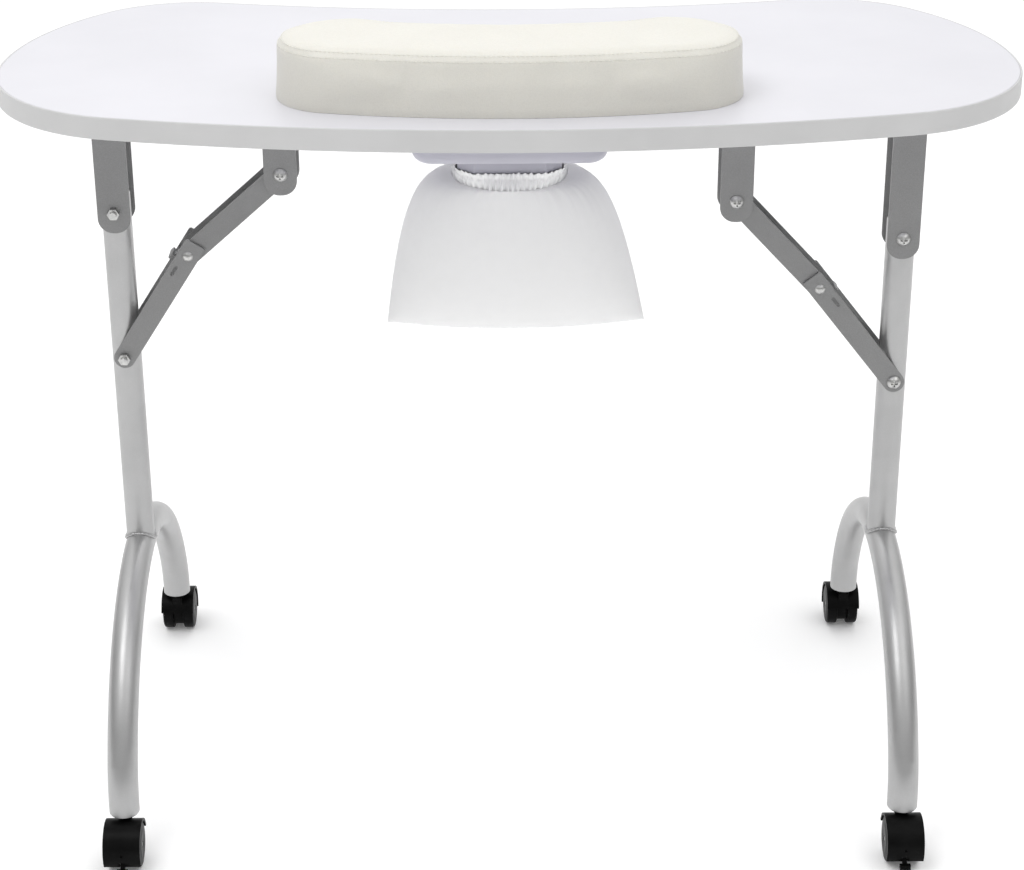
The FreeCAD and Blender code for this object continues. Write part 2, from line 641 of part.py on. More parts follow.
SIDES = [Side("left", 1, "high_pivot", "brace_run", "brace_rise"),
         Side("right", -1, "low_pivot", "low_brace_run", "low_brace_rise")]
EAR_OUTSIDE = "ear_inside + bracket_sheet"
LINK_SEAT = "lower_inside + link_sheet + 0.2"


def elbow_point(side):
    """Where the two brace links meet, measured from the leg pivot."""
    top = side.top
    low = Vector(0, -size.brace_drop, 0)
    span = low - top
    along = (size.upper_link ** 2 - size.lower_link ** 2 + span.Length ** 2) / (2 * span.Length)
    across = math.sqrt(size.upper_link ** 2 - along ** 2)
    unit = Vector(span).normalize()
    return top + unit * along + Vector(unit.y, -unit.x, 0) * across


def bearing(start, end):
    """The angle in degrees of a line from +X towards +Z."""
    return math.degrees(math.atan2(end.y - start.y, end.x - start.x))


def make_bracket(label, side, x, rise):
    """A sheet channel: two ears that hold a pivot, hung from a screwed flange."""
    bracket = new_body(label)
    top = size.underside - side.height - rise
    half = size.ear_half_width
    ears = outline((-half, top, 0), (-half, -size.ear_tail, size.ear_corner),
                   (half, -size.ear_tail, size.ear_corner), (half, top, 0))
    outside = "2 * (ear_inside + bracket_sheet)"
    pad(bracket, label + "_block", sketch(bracket, label + "_ears", "XZ_Plane", [ears]), outside,
        both_ways=True)
    inside, low, web = size.ear_inside, -size.ear_tail - 1, top - size.bracket_sheet
    gap = outline((-inside, low, 0), (inside, low, 0), (inside, web, 0), (-inside, web, 0))
    pocket(bracket, label + "_channel", sketch(bracket, label + "_gap", "YZ_Plane", [gap]),
           "2 * ear_half_width + 2", both_ways=True)
    width = 2 * (size.ear_inside + size.bracket_sheet)
    flange = sketch(bracket, label + "_flange_face", "XY_Plane",
                    [rounded_box(0, 0, 2 * size.flange_reach, width, 5)], web)
    pad(bracket, label + "_flange", flange, "bracket_sheet")
    holes = [circle(a * size.screw_side, b * size.screw_reach, size.screw_radius + 0.3)
             for a in (-1, 1) for b in (-1, 1)]
    pocket(bracket, label + "_screw_holes", sketch(bracket, label + "_holes", "XY_Plane", holes, top),
           "bracket_sheet + 1")
    pivot = sketch(bracket, label + "_pivot", "XZ_Plane", [circle(0, 0, size.bolt_radius)])
    pocket(bracket, label + "_pivot_hole", pivot, outside, both_ways=True)
    piece(label, side.put(bracket, x, rise))


def make_brackets():
    """Brackets with their wood screws, pivot bolts and nuts."""
    screws, bolts, nuts = [], [], []
    for side in SIDES:
        make_bracket("leg_bracket_" + side.name, side, "0", 0)
        make_bracket("brace_bracket_" + side.name, side, side.run, side.top.y)
        for x in (0, side.top.x):
            for along in (-1, 1):
                for across in (-1, 1):
                    screw = wood_screw("bracket_screw")
                    where = x + along * size.screw_side - size.leg_side
                    screws.append(place(screw, side.sign * where, across * size.screw_reach,
                                        "underside - bracket_sheet"))
        spots = [("0", "0", side.sign), (side.run, side.rise, -1)]
        for x, z, facing in spots:
            bolts.append(side.fasten(pivot_bolt("pivot_bolt"), x, z, facing, EAR_OUTSIDE))
            nuts.append(side.fasten(hex_nut("pivot_nut", size.bolt_radius), x, z, -facing, EAR_OUTSIDE))
    piece("bracket_screws", group("bracket_screws", screws))
    piece("bracket_pivot_bolts", group("bracket_pivot_bolts", bolts))
    piece("bracket_pivot_nuts", group("bracket_pivot_nuts", nuts))


def make_post(side):
    """An upright tube, coped onto the crown of the arched foot."""
    foot = "arch_height + 5"
    length = "%s + post_head - (%s)" % (side.pivot, foot)
    floor = "%s - %s" % (foot, side.pivot)
    tools = [rod("post_bore", "tube_radius - tube_wall", length, z=floor),
             cross_rod("post_pivot_hole", "bolt_radius + pivot_gap", "4 * tube_radius"),
             cross_rod("post_brace_hole", "bolt_radius", "4 * tube_radius", z="-(brace_drop)")]
    crown = add("Part::Torus", "crown_tube", Radius1=crown_arc_radius(), Radius2="foot_radius")
    tools.append(place(crown, z="arch_height - %s - %s" % (crown_arc_radius(), side.pivot), turn=90,
                       about=Vector(0, 1, 0)))
    post = cut("post", rod("post_tube", "tube_radius", length, z=floor), *tools)
    piece("leg_post_" + side.name, side.put(post))


def crown_arc_radius():
    """The crown's radius, from the foot's span and its two short end bends."""
    turn = math.sin(math.radians(size.crown_angle))
    return (size.arch_half_span - size.bend_radius * (1 - turn)) / turn


def arch_path():
    """The foot's centre line from one tube end to the other: end, bend, crown, bend, end."""
    degrees = size.crown_angle
    crown, bend, span = crown_arc_radius(), size.bend_radius, size.arch_half_span
    cosine = math.cos(math.radians(degrees))
    bend_height = size.arch_height - crown * (1 - cosine) - bend * cosine
    inner = span - bend
    return [
        line((-span, size.foot_end), (-span, bend_height)),
        arc((-inner, bend_height), bend, 90 + degrees, 180),
        arc((0, size.arch_height - crown), crown, 90 - degrees, 90 + degrees),
        arc((inner, bend_height), bend, 0, 90 - degrees),
        line((span, bend_height), (span, size.foot_end)),
    ]


def make_arch(side):
    """The arched foot: one bent round tube."""
    arch = new_body("leg_arch")
    path = sketch(arch, "arch_path", "YZ_Plane", [arch_path()])
    rings = [circle(0, -size.arch_half_span, radius)
             for radius in (size.foot_radius, size.foot_radius - size.tube_wall)]
    profile = sketch(arch, "arch_section", "XY_Plane", rings, "foot_end")
    doc.recompute()
    pipe = arch.newObject("PartDesign::AdditivePipe", "arch_tube")
    pipe.Profile = profile
    pipe.Spine = (path, ["Edge%d" % (index + 1) for index in range(len(path.Geometry))])
    piece("leg_arch_" + side.name, side.put(arch, z="-(%s)" % side.pivot))


def make_sockets(side):
    """A plug in each tube end, and the caster stem that it grips."""
    sockets, stems = [], []
    for end in (-1, 1):
        insert = fuse("socket_parts",
                      rod("socket_insert", "foot_radius - tube_wall - socket_gap", "socket_top - foot_end",
                          z="foot_end"),
                      rod("socket_flange", "foot_radius - tube_wall / 2", "socket_lip", z="foot_end - socket_lip"))
        bore = rod("socket_bore", "stem_radius", "stem_top - foot_end + socket_lip", z="foot_end - socket_lip")
        x, y = "%d * leg_side" % -side.sign, "%d * arch_half_span" % end
        sockets.append(place(cut("caster_socket", insert, bore), x, y))
        stems.append(rod("caster_stem", "stem_radius", "stem_top - stem_foot", x, y, "stem_foot"))
    piece("caster_sockets_" + side.name, group("caster_sockets", sockets))
    piece("caster_stems_" + side.name, group("caster_stems", stems))


def make_brace_bolt(side):
    """The bolt and nut that hold the lower link to the post."""
    facing = side.sign
    bolt = side.fasten(pivot_bolt("brace_bolt"), "0", "-(brace_drop)", facing, LINK_SEAT)
    nut = side.fasten(hex_nut("brace_nut", size.bolt_radius), "0", "-(brace_drop)", -facing, LINK_SEAT)
    piece("brace_bolt_" + side.name, group("brace_bolt_set", [bolt, nut]))


def squared_face(length):
    """A link's side with one round end and one square end."""
    half, round_end = size.link_half_width, size.link_half_width - 0.1
    end, corner = length + size.square_end, size.square_corner
    return outline((-half, -half, round_end), (end, -half, corner), (end, half, corner), (-half, half, round_end))


def channel_link(name, length, face, outside, inside, web, web_side):
    """Two plates joined by a short web on one long edge; web is (start, end) along the link."""
    link = new_body(name)
    radius = size.link_half_width
    web_start, web_end = web
    pad(link, name + "_block", sketch(link, name + "_face", "XZ_Plane", [face]), 2 * outside, both_ways=True)
    far, edge = 2 * radius, web_side * (radius - size.web_sheet)
    reach = web_side * far
    gap = outline((-far, -reach, 0), (length + far, -reach, 0), (length + far, reach, 0),
                  (web_end, reach, 0), (web_end, edge, 1), (web_start, edge, 1),
                  (web_start, reach, 0), (-far, reach, 0))
    pocket(link, name + "_channel", sketch(link, name + "_gap", "XZ_Plane", [gap]), 2 * inside,
           both_ways=True)
    return link


def drill(link, name, spots, outside):
    """Holes through both plates; a spot is (x, radius)."""
    holes = sketch(link, name, "XZ_Plane", [circle(x, 0, radius) for x, radius in spots])
    pocket(link, name + "_drilled", holes, 2 * outside + 2, both_ways=True)


def make_upper_link(side, elbow):
    outside = size.upper_outside
    length, web = size.upper_link, (size.upper_web_start, size.upper_web_end)
    face = slot(0, length, 0, size.link_half_width)
    link = channel_link("upper_link", length, face, outside, outside - size.link_sheet, web, 1)
    running = size.bolt_radius + size.pivot_gap
    drill(link, "upper_holes", [(0, running), (size.upper_link, size.rivet_radius + 0.3),
                                (size.lock_pivot, size.lock_pin + size.running_gap)], outside)
    swing = bearing(side.top, elbow)
    piece("upper_link_" + side.name, side.put(link, side.run, side.rise, swing))
    make_lock(side, swing)


def make_lower_link(side, elbow):
    outside = size.lower_inside + size.link_sheet
    length = size.lower_link
    web = (size.lower_web_start, size.lower_web_end)
    link = channel_link("lower_link", length, squared_face(length), outside, size.lower_inside, web, -1)
    drill(link, "lower_holes", [(0, size.bolt_radius + size.pivot_gap), (length, size.rivet_radius)], outside)
    lock_slot = sketch(link, "lock_slot", "XZ_Plane", [
        slot(length - size.lock_slot_far, length - size.lock_slot_near, size.lock_slot_offset,
             size.lock_slot_half_width)])
    pocket(link, "lock_slot_cut", lock_slot, 2 * outside + 2, both_ways=True)
    swing = bearing(Vector(0, -size.brace_drop, 0), elbow)
    piece("lower_link_" + side.name, side.put(link, "0", "-(brace_drop)", swing))


def make_elbow_rivets(side, elbow):
    """A short domed rivet in each outer plate; nothing crosses the gap between the links."""
    rivets = []
    radius, shank, dome = size.rivet_radius, size.link_sheet, size.rivet_dome
    rim = radius + size.rivet_rim
    ball = (rim ** 2 + dome ** 2) / (2 * dome)
    half_angle = math.atan2(rim, ball - dome) / 2
    middle = Vector(ball * math.sin(half_angle), ball - dome - ball * math.cos(half_angle), 0)
    for facing in (-1, 1):
        rivet = new_body("elbow_rivet")
        cap = Part.Arc(Vector(0, -dome, 0), middle, Vector(rim, 0, 0))
        profile = [cap, line((rim, 0), (radius, 0)), line((radius, 0), (radius, shank)),
                   line((radius, shank), (0, shank)), line((0, shank), (0, -dome))]
        revolve(rivet, "rivet_turned", sketch(rivet, "rivet_profile", "XZ_Plane", [profile]))
        rivets.append(side.fasten(rivet, str(elbow.x), "(%s)" % elbow.y, facing, "lower_inside + link_sheet"))
    piece("elbow_rivets_" + side.name, group("elbow_rivets", rivets))


def make_lock(side, swing):
    """A pivoted catch between the upper link's plates, with a coil spring on its pin."""
    lever = new_body("lock_lever")
    x = size.lock_pivot
    back, depth, nub = size.lock_back, size.lock_depth, size.lock_nub
    tip = x + size.lock_reach
    inner = tip - size.lock_sheet
    arm = outline((x - back, -depth, 2), (x - back, depth, 3), (x + 2 * back, depth, 3), (tip, -depth, 3),
                  (tip, -nub, 0.8), (inner, -nub, 0.8), (inner, -depth - 2, 1), (x + 2 * back, -depth, 3))
    pad(lever, "lever_arm", sketch(lever, "lever_profile", "XZ_Plane", [arm]), "lock_arm", both_ways=True)
    tab = outline((inner, -nub, 0.8), (tip, -nub, 0.8), (tip, -depth, 0), (inner, -depth, 0))
    pad(lever, "lever_tab", sketch(lever, "tab_profile", "XZ_Plane", [tab]), "lock_tab", both_ways=True)
    pin = sketch(lever, "lever_pin_face", "XZ_Plane", [circle(x, 0, size.lock_pin)])
    pad(lever, "lever_pin", pin, "2 * upper_outside", both_ways=True)
    piece("lock_lever_" + side.name, side.put(lever, side.run, side.rise, swing))

    spring = new_body("lock_spring")
    wire = sketch(spring, "spring_wire", "XZ_Plane", [circle(size.spring_radius, 0, size.spring_wire)])
    coil = spring.newObject("PartDesign::AdditiveHelix", "spring_coil")
    coil.Profile = wire
    coil.ReferenceAxis = (wire, ["V_Axis"])
    coil.Mode = "pitch-height-angle"
    bind(coil, Pitch="spring_pitch", Height="spring_length")
    run = side.top.x + x * math.cos(math.radians(swing))
    rise = side.top.y + x * math.sin(math.radians(swing))
    piece("lock_spring_" + side.name, side.fasten(spring, str(run), "(%s)" % rise, -1, "spring_seat"))


def make_leg(side):
    elbow = elbow_point(side)
    make_post(side)
    make_arch(side)
    make_sockets(side)
    make_brace_bolt(side)
    make_upper_link(side, elbow)
    make_lower_link(side, elbow)
    make_elbow_rivets(side, elbow)


# ---------------------------------------------------------------- casters

def make_hood(axle):
    """Stem boss, middle web and fender in one moulding, with a slot for the brake."""
    hood = new_body("caster_hood")
    web = 2 * size.fork_half_width
    pad(hood, "web_pad", sketch(hood, "web_face", "YZ_Plane", [circle(axle[0], axle[1], size.fork_radius)]),
        web, both_ways=True)
    boss = size.caster_boss
    low, top = axle[1] + 4, size.boss_bottom + 2
    column = outline((-boss, low, 0), (boss, low, 0), (boss, top, 0), (-boss, top, 0))
    pad(hood, "column_pad", sketch(hood, "column_face", "YZ_Plane", [column]), web, both_ways=True)
    pad(hood, "boss_pad", sketch(hood, "boss_face", "XY_Plane", [circle(0, 0, boss)], "boss_bottom"),
        "hood_top - boss_bottom")
    start, stop = size.fender_rear, size.fender_front
    inner, outer = size.fender_inner, size.fender_outer
    ends = [[(axle[0] + radius * math.cos(math.radians(angle)), axle[1] + radius * math.sin(math.radians(angle)))
             for radius in (inner, outer)] for angle in (start, stop)]
    shell = [arc(axle, outer, start, stop), line(ends[1][1], ends[1][0]),
             arc(axle, inner, start, stop), line(ends[0][0], ends[0][1])]
    pad(hood, "fender_pad", sketch(hood, "fender_face", "YZ_Plane", [shell]), "2 * caster_half_width",
        both_ways=True)
    stem = sketch(hood, "stem_face", "XY_Plane", [circle(0, 0, size.stem_radius + size.running_gap)], "hood_top")
    pocket(hood, "stem_bore", stem, "hood_top - stem_foot + 0.5")
    bores = [circle(axle[0], axle[1], size.axle_radius + size.running_gap),
             circle(axle[0] - size.brake_pivot, axle[1], size.brake_pin + size.running_gap)]
    pocket(hood, "pin_bores", sketch(hood, "bore_faces", "YZ_Plane", bores), web + 2, both_ways=True)
    # a shallow moulding mark in the middle of the fender's front
    clear = size.fender_outer + size.caster_trail + 2
    mark = sketch(hood, "mark_face", "XZ_Plane", [circle(0, axle[1] + 3, size.hood_mark)], clear)
    pocket(hood, "moulding_mark", mark, 2 + size.hood_mark_depth)
    tongue = outline((-40, 0, 0), (-20.5, 0, 0), (-20.5, 29, 0), (-32, 32, 0), (-32, 16, 0), (-40, 16, 0))
    pocket(hood, "tongue_slot", sketch(hood, "tongue_face", "YZ_Plane", [tongue]),
           "2 * brake_tongue + 0.4", both_ways=True)
    return hood


def make_wheel(name):
    """One domed wheel, turned about the axle."""
    wheel = new_body(name)
    inside, outside, rim = size.wheel_inside, size.caster_half_width, size.wheel_radius
    profile = outline((inside, size.axle_radius, 0), (inside, rim, 1), (outside - 1.2, rim, 2.5),
                      (outside, rim * 0.6, 4), (outside - 0.6, size.axle_radius, 0))
    revolve(wheel, name + "_turned", sketch(wheel, name + "_profile", "XZ_Plane", [profile]), "H_Axis")
    return wheel


def make_brake(axle):
    """A tongue on a pin, with a foot tab outside the fender."""
    brake = new_body("brake_lever")
    pivot = axle[0] - size.brake_pivot
    height = axle[1]
    tongue = outline((pivot + 3.5, height - 3.5, 2.5), (pivot + 3.5, height + 3.5, 2.5),
                     (pivot - 3, height + 2, 1), (-35.8, 9, 0), (-37, 5, 0), (-33, 5, 1))
    pad(brake, "tongue_pad", sketch(brake, "brake_tongue_face", "YZ_Plane", [tongue]), "2 * brake_tongue",
        both_ways=True)
    tab = outline((-35.4, 9.2, 0.6), (-40, 8.8, 1), (-40.6, 4.4, 0.8), (-35.8, 4.4, 0.8))
    pad(brake, "tab_pad", sketch(brake, "brake_tab_face", "YZ_Plane", [tab]), "2 * fork_half_width",
        both_ways=True)
    pin = sketch(brake, "brake_pin_face", "YZ_Plane", [circle(pivot, axle[1], size.brake_pin)])
    pad(brake, "brake_pin", pin, "2 * fork_half_width", both_ways=True)
    return brake


def make_caster(side, end_name, end):
    """One caster under a tube end; the front ones trail forwards and the rear ones backwards."""
    axle = (-size.caster_trail, size.wheel_radius)
    label = "%s_%s" % (side.name, end_name)
    x = "%d * leg_side" % -side.sign
    y = "%d * arch_half_span" % end
    turn = 0 if end < 0 else 180
    axle_y = "%d * (arch_half_span + caster_trail)" % end
    piece("caster_hood_" + label, place(make_hood(axle), x, y, 0, turn))
    piece("brake_lever_" + label, place(make_brake(axle), x, y, 0, turn))
    wheels = [place(make_wheel("caster_wheel"), x, axle_y, "wheel_radius", half_turn)
              for half_turn in (0, 180)]
    piece("caster_wheels_" + label, group("caster_wheels", wheels))
    axle_rod = rod("caster_axle", "axle_radius", "2 * (caster_half_width - 1)",
                   x + " - (caster_half_width - 1)", axle_y, "wheel_radius", 90, Vector(0, 1, 0))
    piece("caster_axle_" + label, axle_rod)


def check_and_write():
    """Refuse a failed object or a bad shape, then write one STEP file for each sub-part."""
    doc.recompute()
    failed = [item.Label for item in doc.Objects if {"Invalid", "Error"} & set(item.State)]
    if failed:
        raise RuntimeError("failed objects: %s" % ", ".join(failed))
    for label, item in pieces.items():
        if item.Shape.isNull() or not item.Shape.isValid():
            raise RuntimeError("bad shape: " + label)
    os.makedirs("parts", exist_ok=True)
    for label, item in pieces.items():
        item.Shape.exportStep("parts/%s.step" % label)
    print("wrote %d sub-parts" % len(pieces))


make_board()
make_grille()
make_housing()
make_collar()
make_spider()
make_motor()
make_rotor()
make_fan_screws()
make_inlet()
make_switch()
make_cushion()
make_dust_bag()
make_brackets()
for leg_side in SIDES:
    make_leg(leg_side)
    make_caster(leg_side, "front", -1)
    make_caster(leg_side, "rear", 1)
check_and_write()
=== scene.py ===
import json
import math

import bmesh
import bpy
import numpy as np
from mathutils import Matrix, Vector, noise
from mathutils.bvhtree import BVHTree
from mathutils.kdtree import KDTree


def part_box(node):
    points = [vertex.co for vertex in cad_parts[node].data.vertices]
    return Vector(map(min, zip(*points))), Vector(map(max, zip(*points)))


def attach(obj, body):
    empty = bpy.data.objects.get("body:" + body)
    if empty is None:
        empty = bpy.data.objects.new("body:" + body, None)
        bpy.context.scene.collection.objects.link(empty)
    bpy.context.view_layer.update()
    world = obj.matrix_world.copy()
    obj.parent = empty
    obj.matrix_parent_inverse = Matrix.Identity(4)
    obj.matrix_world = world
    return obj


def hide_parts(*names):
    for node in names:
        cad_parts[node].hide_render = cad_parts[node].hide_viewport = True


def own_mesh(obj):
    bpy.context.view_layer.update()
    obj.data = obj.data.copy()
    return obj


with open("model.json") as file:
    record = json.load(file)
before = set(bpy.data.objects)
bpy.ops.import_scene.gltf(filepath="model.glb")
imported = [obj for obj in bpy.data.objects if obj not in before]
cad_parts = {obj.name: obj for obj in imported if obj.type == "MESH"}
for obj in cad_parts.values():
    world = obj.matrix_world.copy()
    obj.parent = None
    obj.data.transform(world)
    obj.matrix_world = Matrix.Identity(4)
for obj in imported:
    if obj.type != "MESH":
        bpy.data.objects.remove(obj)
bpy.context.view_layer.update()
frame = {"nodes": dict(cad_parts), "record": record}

MM = 0.001
NODES = frame["nodes"]
RECORD = frame["record"]
SLOT_OF = {part["node"]: part["material_slot"] for part in RECORD["subparts"]}
BODY_OF = {node: body for body, nodes in RECORD["behaviour"]["bodies"].items() for node in nodes}
SIDES = ("left", "right")
ENDS = ("front", "rear")
SAME_POINT = 1e-6           # vertices closer than this are one
FLAT_ANGLE = 0.5            # degrees: faces that meet at less are merged
BEVEL_ANGLE = 32            # degrees: edges sharper than this are rounded
CREASE_ANGLE = 35           # degrees: edges sharper than this stay creased in the shading


# ---------------------------------------------------------------- materials

MOTTLE_LOW, MOTTLE_HIGH = 0.3, 0.7              # the part of a noise that a soft mottle uses
FACTOR, FIRST, SECOND, RESULT = 0, 6, 7, 2      # the colour sockets of a Mix node


class Paint:
    """A node material built on one Principled shader, with object coordinates in metres."""

    def __init__(self, name, roughness=0.5, metallic=0.0, **sockets):
        self.material = bpy.data.materials.new(name)
        self.material.use_nodes = True
        self.tree = self.material.node_tree
        self.shader = self.tree.nodes["Principled BSDF"]
        self.shader.inputs["Roughness"].default_value = roughness
        self.shader.inputs["Metallic"].default_value = metallic
        for socket, value in sockets.items():
            self.shader.inputs[socket.replace("_", " ")].default_value = value
        self.place = self.add("ShaderNodeTexCoord").outputs["Object"]
        self.heights = []

    def add(self, kind, **values):
        node = self.tree.nodes.new(kind)
        for key, value in values.items():
            setattr(node, key, value)
        return node

    def link(self, source, target):
        self.tree.links.new(source, target)

    def stretched(self, scale):
        mapping = self.add("ShaderNodeMapping")
        mapping.inputs["Scale"].default_value = scale
        self.link(self.place, mapping.inputs["Vector"])
        return mapping.outputs["Vector"]

    def noise(self, scale, detail=3.0, roughness=0.5, stretch=None):
        node = self.add("ShaderNodeTexNoise")
        node.inputs["Scale"].default_value = scale
        node.inputs["Detail"].default_value = detail
        node.inputs["Roughness"].default_value = roughness
        self.link(self.stretched(stretch) if stretch else self.place, node.inputs["Vector"])
        return node.outputs["Fac"]

    def cells(self, scale, feature="F1"):
        node = self.add("ShaderNodeTexVoronoi", feature=feature)
        node.inputs["Scale"].default_value = scale
        self.link(self.place, node.inputs["Vector"])
        return node.outputs["Distance"]

    def bands(self, scale, axis="X", distortion=0.0):
        node = self.add("ShaderNodeTexWave", wave_type="BANDS", bands_direction=axis)
        node.inputs["Scale"].default_value = scale
        node.inputs["Distortion"].default_value = distortion
        self.link(self.place, node.inputs["Vector"])
        return node.outputs["Fac"]

    def ramp(self, source, low, high, first, last):
        node = self.add("ShaderNodeValToRGB")
        node.color_ramp.elements[0].position = low
        node.color_ramp.elements[1].position = high
        node.color_ramp.elements[0].color = first
        node.color_ramp.elements[1].color = last
        self.link(source, node.inputs["Fac"])
        return node.outputs["Color"]

    def mottle(self, source, first, last):
        """A tone that wanders softly between two colours."""
        return self.ramp(source, MOTTLE_LOW, MOTTLE_HIGH, first, last)

    def blend(self, factor, first, second):
        node = self.add("ShaderNodeMix", data_type="RGBA")
        self.link(factor, node.inputs[FACTOR])
        self.link(first, node.inputs[FIRST])
        if isinstance(second, tuple):
            node.inputs[SECOND].default_value = second
        else:
            self.link(second, node.inputs[SECOND])
        return node.outputs[RESULT]

    def colour(self, source):
        self.link(source, self.shader.inputs["Base Color"])

    def gloss(self, source, low, high):
        """Let the roughness wander between two values."""
        node = self.add("ShaderNodeMapRange")
        node.inputs["To Min"].default_value = low
        node.inputs["To Max"].default_value = high
        self.link(source, node.inputs["Value"])
        self.link(node.outputs["Result"], self.shader.inputs["Roughness"])

    def relief(self, source, depth, strength=1.0):
        """Add a bump layer on top of the earlier ones."""
        node = self.add("ShaderNodeBump")
        node.inputs["Distance"].default_value = depth
        node.inputs["Strength"].default_value = strength
        self.link(source, node.inputs["Height"])
        if self.heights:
            self.link(self.heights[-1], node.inputs["Normal"])
        self.heights.append(node.outputs["Normal"])
        self.link(self.heights[-1], self.shader.inputs["Normal"])


def grey(value, tint=(1.0, 1.0, 1.0)):
    return (value * tint[0], value * tint[1], value * tint[2], 1.0)


LAVENDER = (0.985, 0.98, 1.035)
IVORY = (1.0, 0.98, 0.90)


def laminate():
    paint = Paint("white_laminate", roughness=0.42, Specular_IOR_Level=0.35)
    cloud = paint.noise(scale=9, detail=4)
    paint.colour(paint.mottle(cloud, grey(0.68, LAVENDER), grey(0.71, LAVENDER)))
    paint.gloss(paint.noise(scale=60, detail=3), low=0.38, high=0.48)
    paint.relief(paint.noise(scale=1400, detail=2), depth=0.00004, strength=0.5)
    return paint.material


def edge_strip():
    paint = Paint("edge_strip", roughness=0.5, Specular_IOR_Level=0.35)
    cloud = paint.noise(scale=14, detail=3)
    # painted shade: this grey is set darker than the laminate top's so that the upright edge reads as
    # shaded
    base = paint.mottle(cloud, grey(0.59), grey(0.63))
    paint.colour(base)
    paint.relief(paint.noise(scale=500, detail=2, stretch=(0.2, 0.2, 3.0)), depth=0.00006, strength=0.5)
    paint.gloss(paint.noise(scale=80, detail=2), low=0.42, high=0.56)
    return paint.material


def painted_steel():
    paint = Paint("grey_steel", roughness=0.45, metallic=0.15, Specular_IOR_Level=0.35)
    cloud = paint.noise(scale=35, detail=4)
    base = paint.mottle(cloud, grey(0.245), grey(0.275))
    speckle = paint.ramp(paint.noise(scale=1800, detail=2), 0.42, 0.62, grey(0.23), grey(0.30))
    mixed = paint.blend(paint.noise(scale=300, detail=2), base, speckle)
    paint.colour(mixed)
    paint.gloss(paint.noise(scale=120, detail=3), low=0.34, high=0.5)
    paint.relief(paint.noise(scale=900, detail=3), depth=0.00008, strength=0.6)
    return paint.material


def silver_tube():
    paint = Paint("silver_tube", roughness=0.36, metallic=0.85, Specular_IOR_Level=0.5)
    flake = paint.noise(scale=2600, detail=1)
    base = paint.mottle(paint.noise(scale=18, detail=3), grey(0.43), grey(0.48))
    glints = paint.ramp(flake, 0.5, 0.75, grey(0.0), grey(0.35))
    paint.colour(paint.blend(glints, base, grey(0.62)))
    paint.gloss(paint.noise(scale=90, detail=3), low=0.34, high=0.46)
    paint.relief(paint.noise(scale=1100, detail=3), depth=0.00007, strength=0.5)
    return paint.material


def zinc():
    paint = Paint("zinc", roughness=0.24, metallic=1.0)
    paint.colour(paint.mottle(paint.noise(scale=260, detail=4), grey(0.46), grey(0.64, (1, 1, 0.97))))
    paint.gloss(paint.noise(scale=700, detail=3), low=0.26, high=0.42)
    paint.relief(paint.noise(scale=1500, detail=2), depth=0.00004, strength=0.5)
    return paint.material


def white_plastic():
    paint = Paint("white_plastic", roughness=0.4, Specular_IOR_Level=0.45)
    # painted shade: the grey is set low and cool so that the fan housing under the tabletop reads
    # shaded; every white plastic part shares it
    shade_cool_tint = (0.96, 0.95, 1.07)
    base = paint.mottle(paint.noise(scale=12, detail=3), grey(0.50, shade_cool_tint), grey(0.55, shade_cool_tint))
    paint.colour(base)
    paint.gloss(paint.noise(scale=100, detail=2), low=0.33, high=0.45)
    paint.relief(paint.noise(scale=1300, detail=2), depth=0.00005, strength=0.6)
    return paint.material


def black_plastic():
    paint = Paint("black_plastic", roughness=0.34, Specular_IOR_Level=0.06)
    base = paint.mottle(paint.noise(scale=60, detail=3), grey(0.003), grey(0.006))
    paint.colour(base)
    paint.gloss(paint.noise(scale=160, detail=3), low=0.28, high=0.42)
    paint.relief(paint.noise(scale=1600, detail=2), depth=0.00006, strength=0.6)
    return paint.material


def ivory_leather():
    """Grained imitation leather: small pebbles, finer creases between them and a soft sheen."""
    paint = Paint("ivory_leather", roughness=0.48, Specular_IOR_Level=0.4, Sheen_Weight=0.12,
                  Sheen_Roughness=0.5, Subsurface_Weight=0.05)
    paint.shader.inputs["Subsurface Radius"].default_value = (0.004, 0.003, 0.002)
    pebble = paint.cells(900)
    tone = paint.mottle(paint.noise(scale=22, detail=4), grey(0.72, IVORY), grey(0.76, IVORY))
    crease = paint.ramp(pebble, 0.0, 0.7, grey(0.76, IVORY), grey(0.69, IVORY))
    paint.colour(paint.blend(paint.noise(scale=400, detail=2), tone, crease))
    paint.gloss(pebble, low=0.38, high=0.56)
    paint.relief(paint.noise(scale=26, detail=3), depth=0.0006, strength=0.35)
    paint.relief(pebble, depth=0.00016, strength=0.6)
    paint.relief(paint.noise(scale=2400, detail=2), depth=0.00004, strength=0.5)
    return paint.material


def thread():
    paint = Paint("stitch_thread", roughness=0.6, Sheen_Weight=0.2)
    paint.colour(paint.mottle(paint.noise(scale=500, detail=2), grey(0.74, IVORY), grey(0.88, IVORY)))
    paint.relief(paint.bands(900, "DIAGONAL"), depth=0.0001, strength=0.6)
    return paint.material


def bag_cloth():
    """Thin plain-woven white cloth that lets a little light through."""
    paint = Paint("bag_cloth", roughness=0.85, Specular_IOR_Level=0.15, Sheen_Weight=0.25,
                  Sheen_Roughness=0.6, Subsurface_Weight=0.25)
    paint.shader.inputs["Subsurface Radius"].default_value = (0.02, 0.02, 0.02)
    warp, weft = paint.bands(420, "X"), paint.bands(420, "Z")
    weave = paint.add("ShaderNodeMath", operation="MULTIPLY")
    paint.link(warp, weave.inputs[0])
    paint.link(weft, weave.inputs[1])
    tone = paint.ramp(paint.noise(scale=14, detail=4), 0.25, 0.75, grey(0.93), grey(0.96))
    cloth = paint.ramp(weave.outputs[0], 0.0, 1.0, grey(0.90), grey(0.97))
    paint.colour(paint.blend(paint.noise(scale=90, detail=2), tone, cloth))
    paint.relief(paint.noise(scale=30, detail=3), depth=0.0010, strength=0.4)
    paint.relief(weave.outputs[0], depth=0.00012, strength=0.5)
    return paint.material


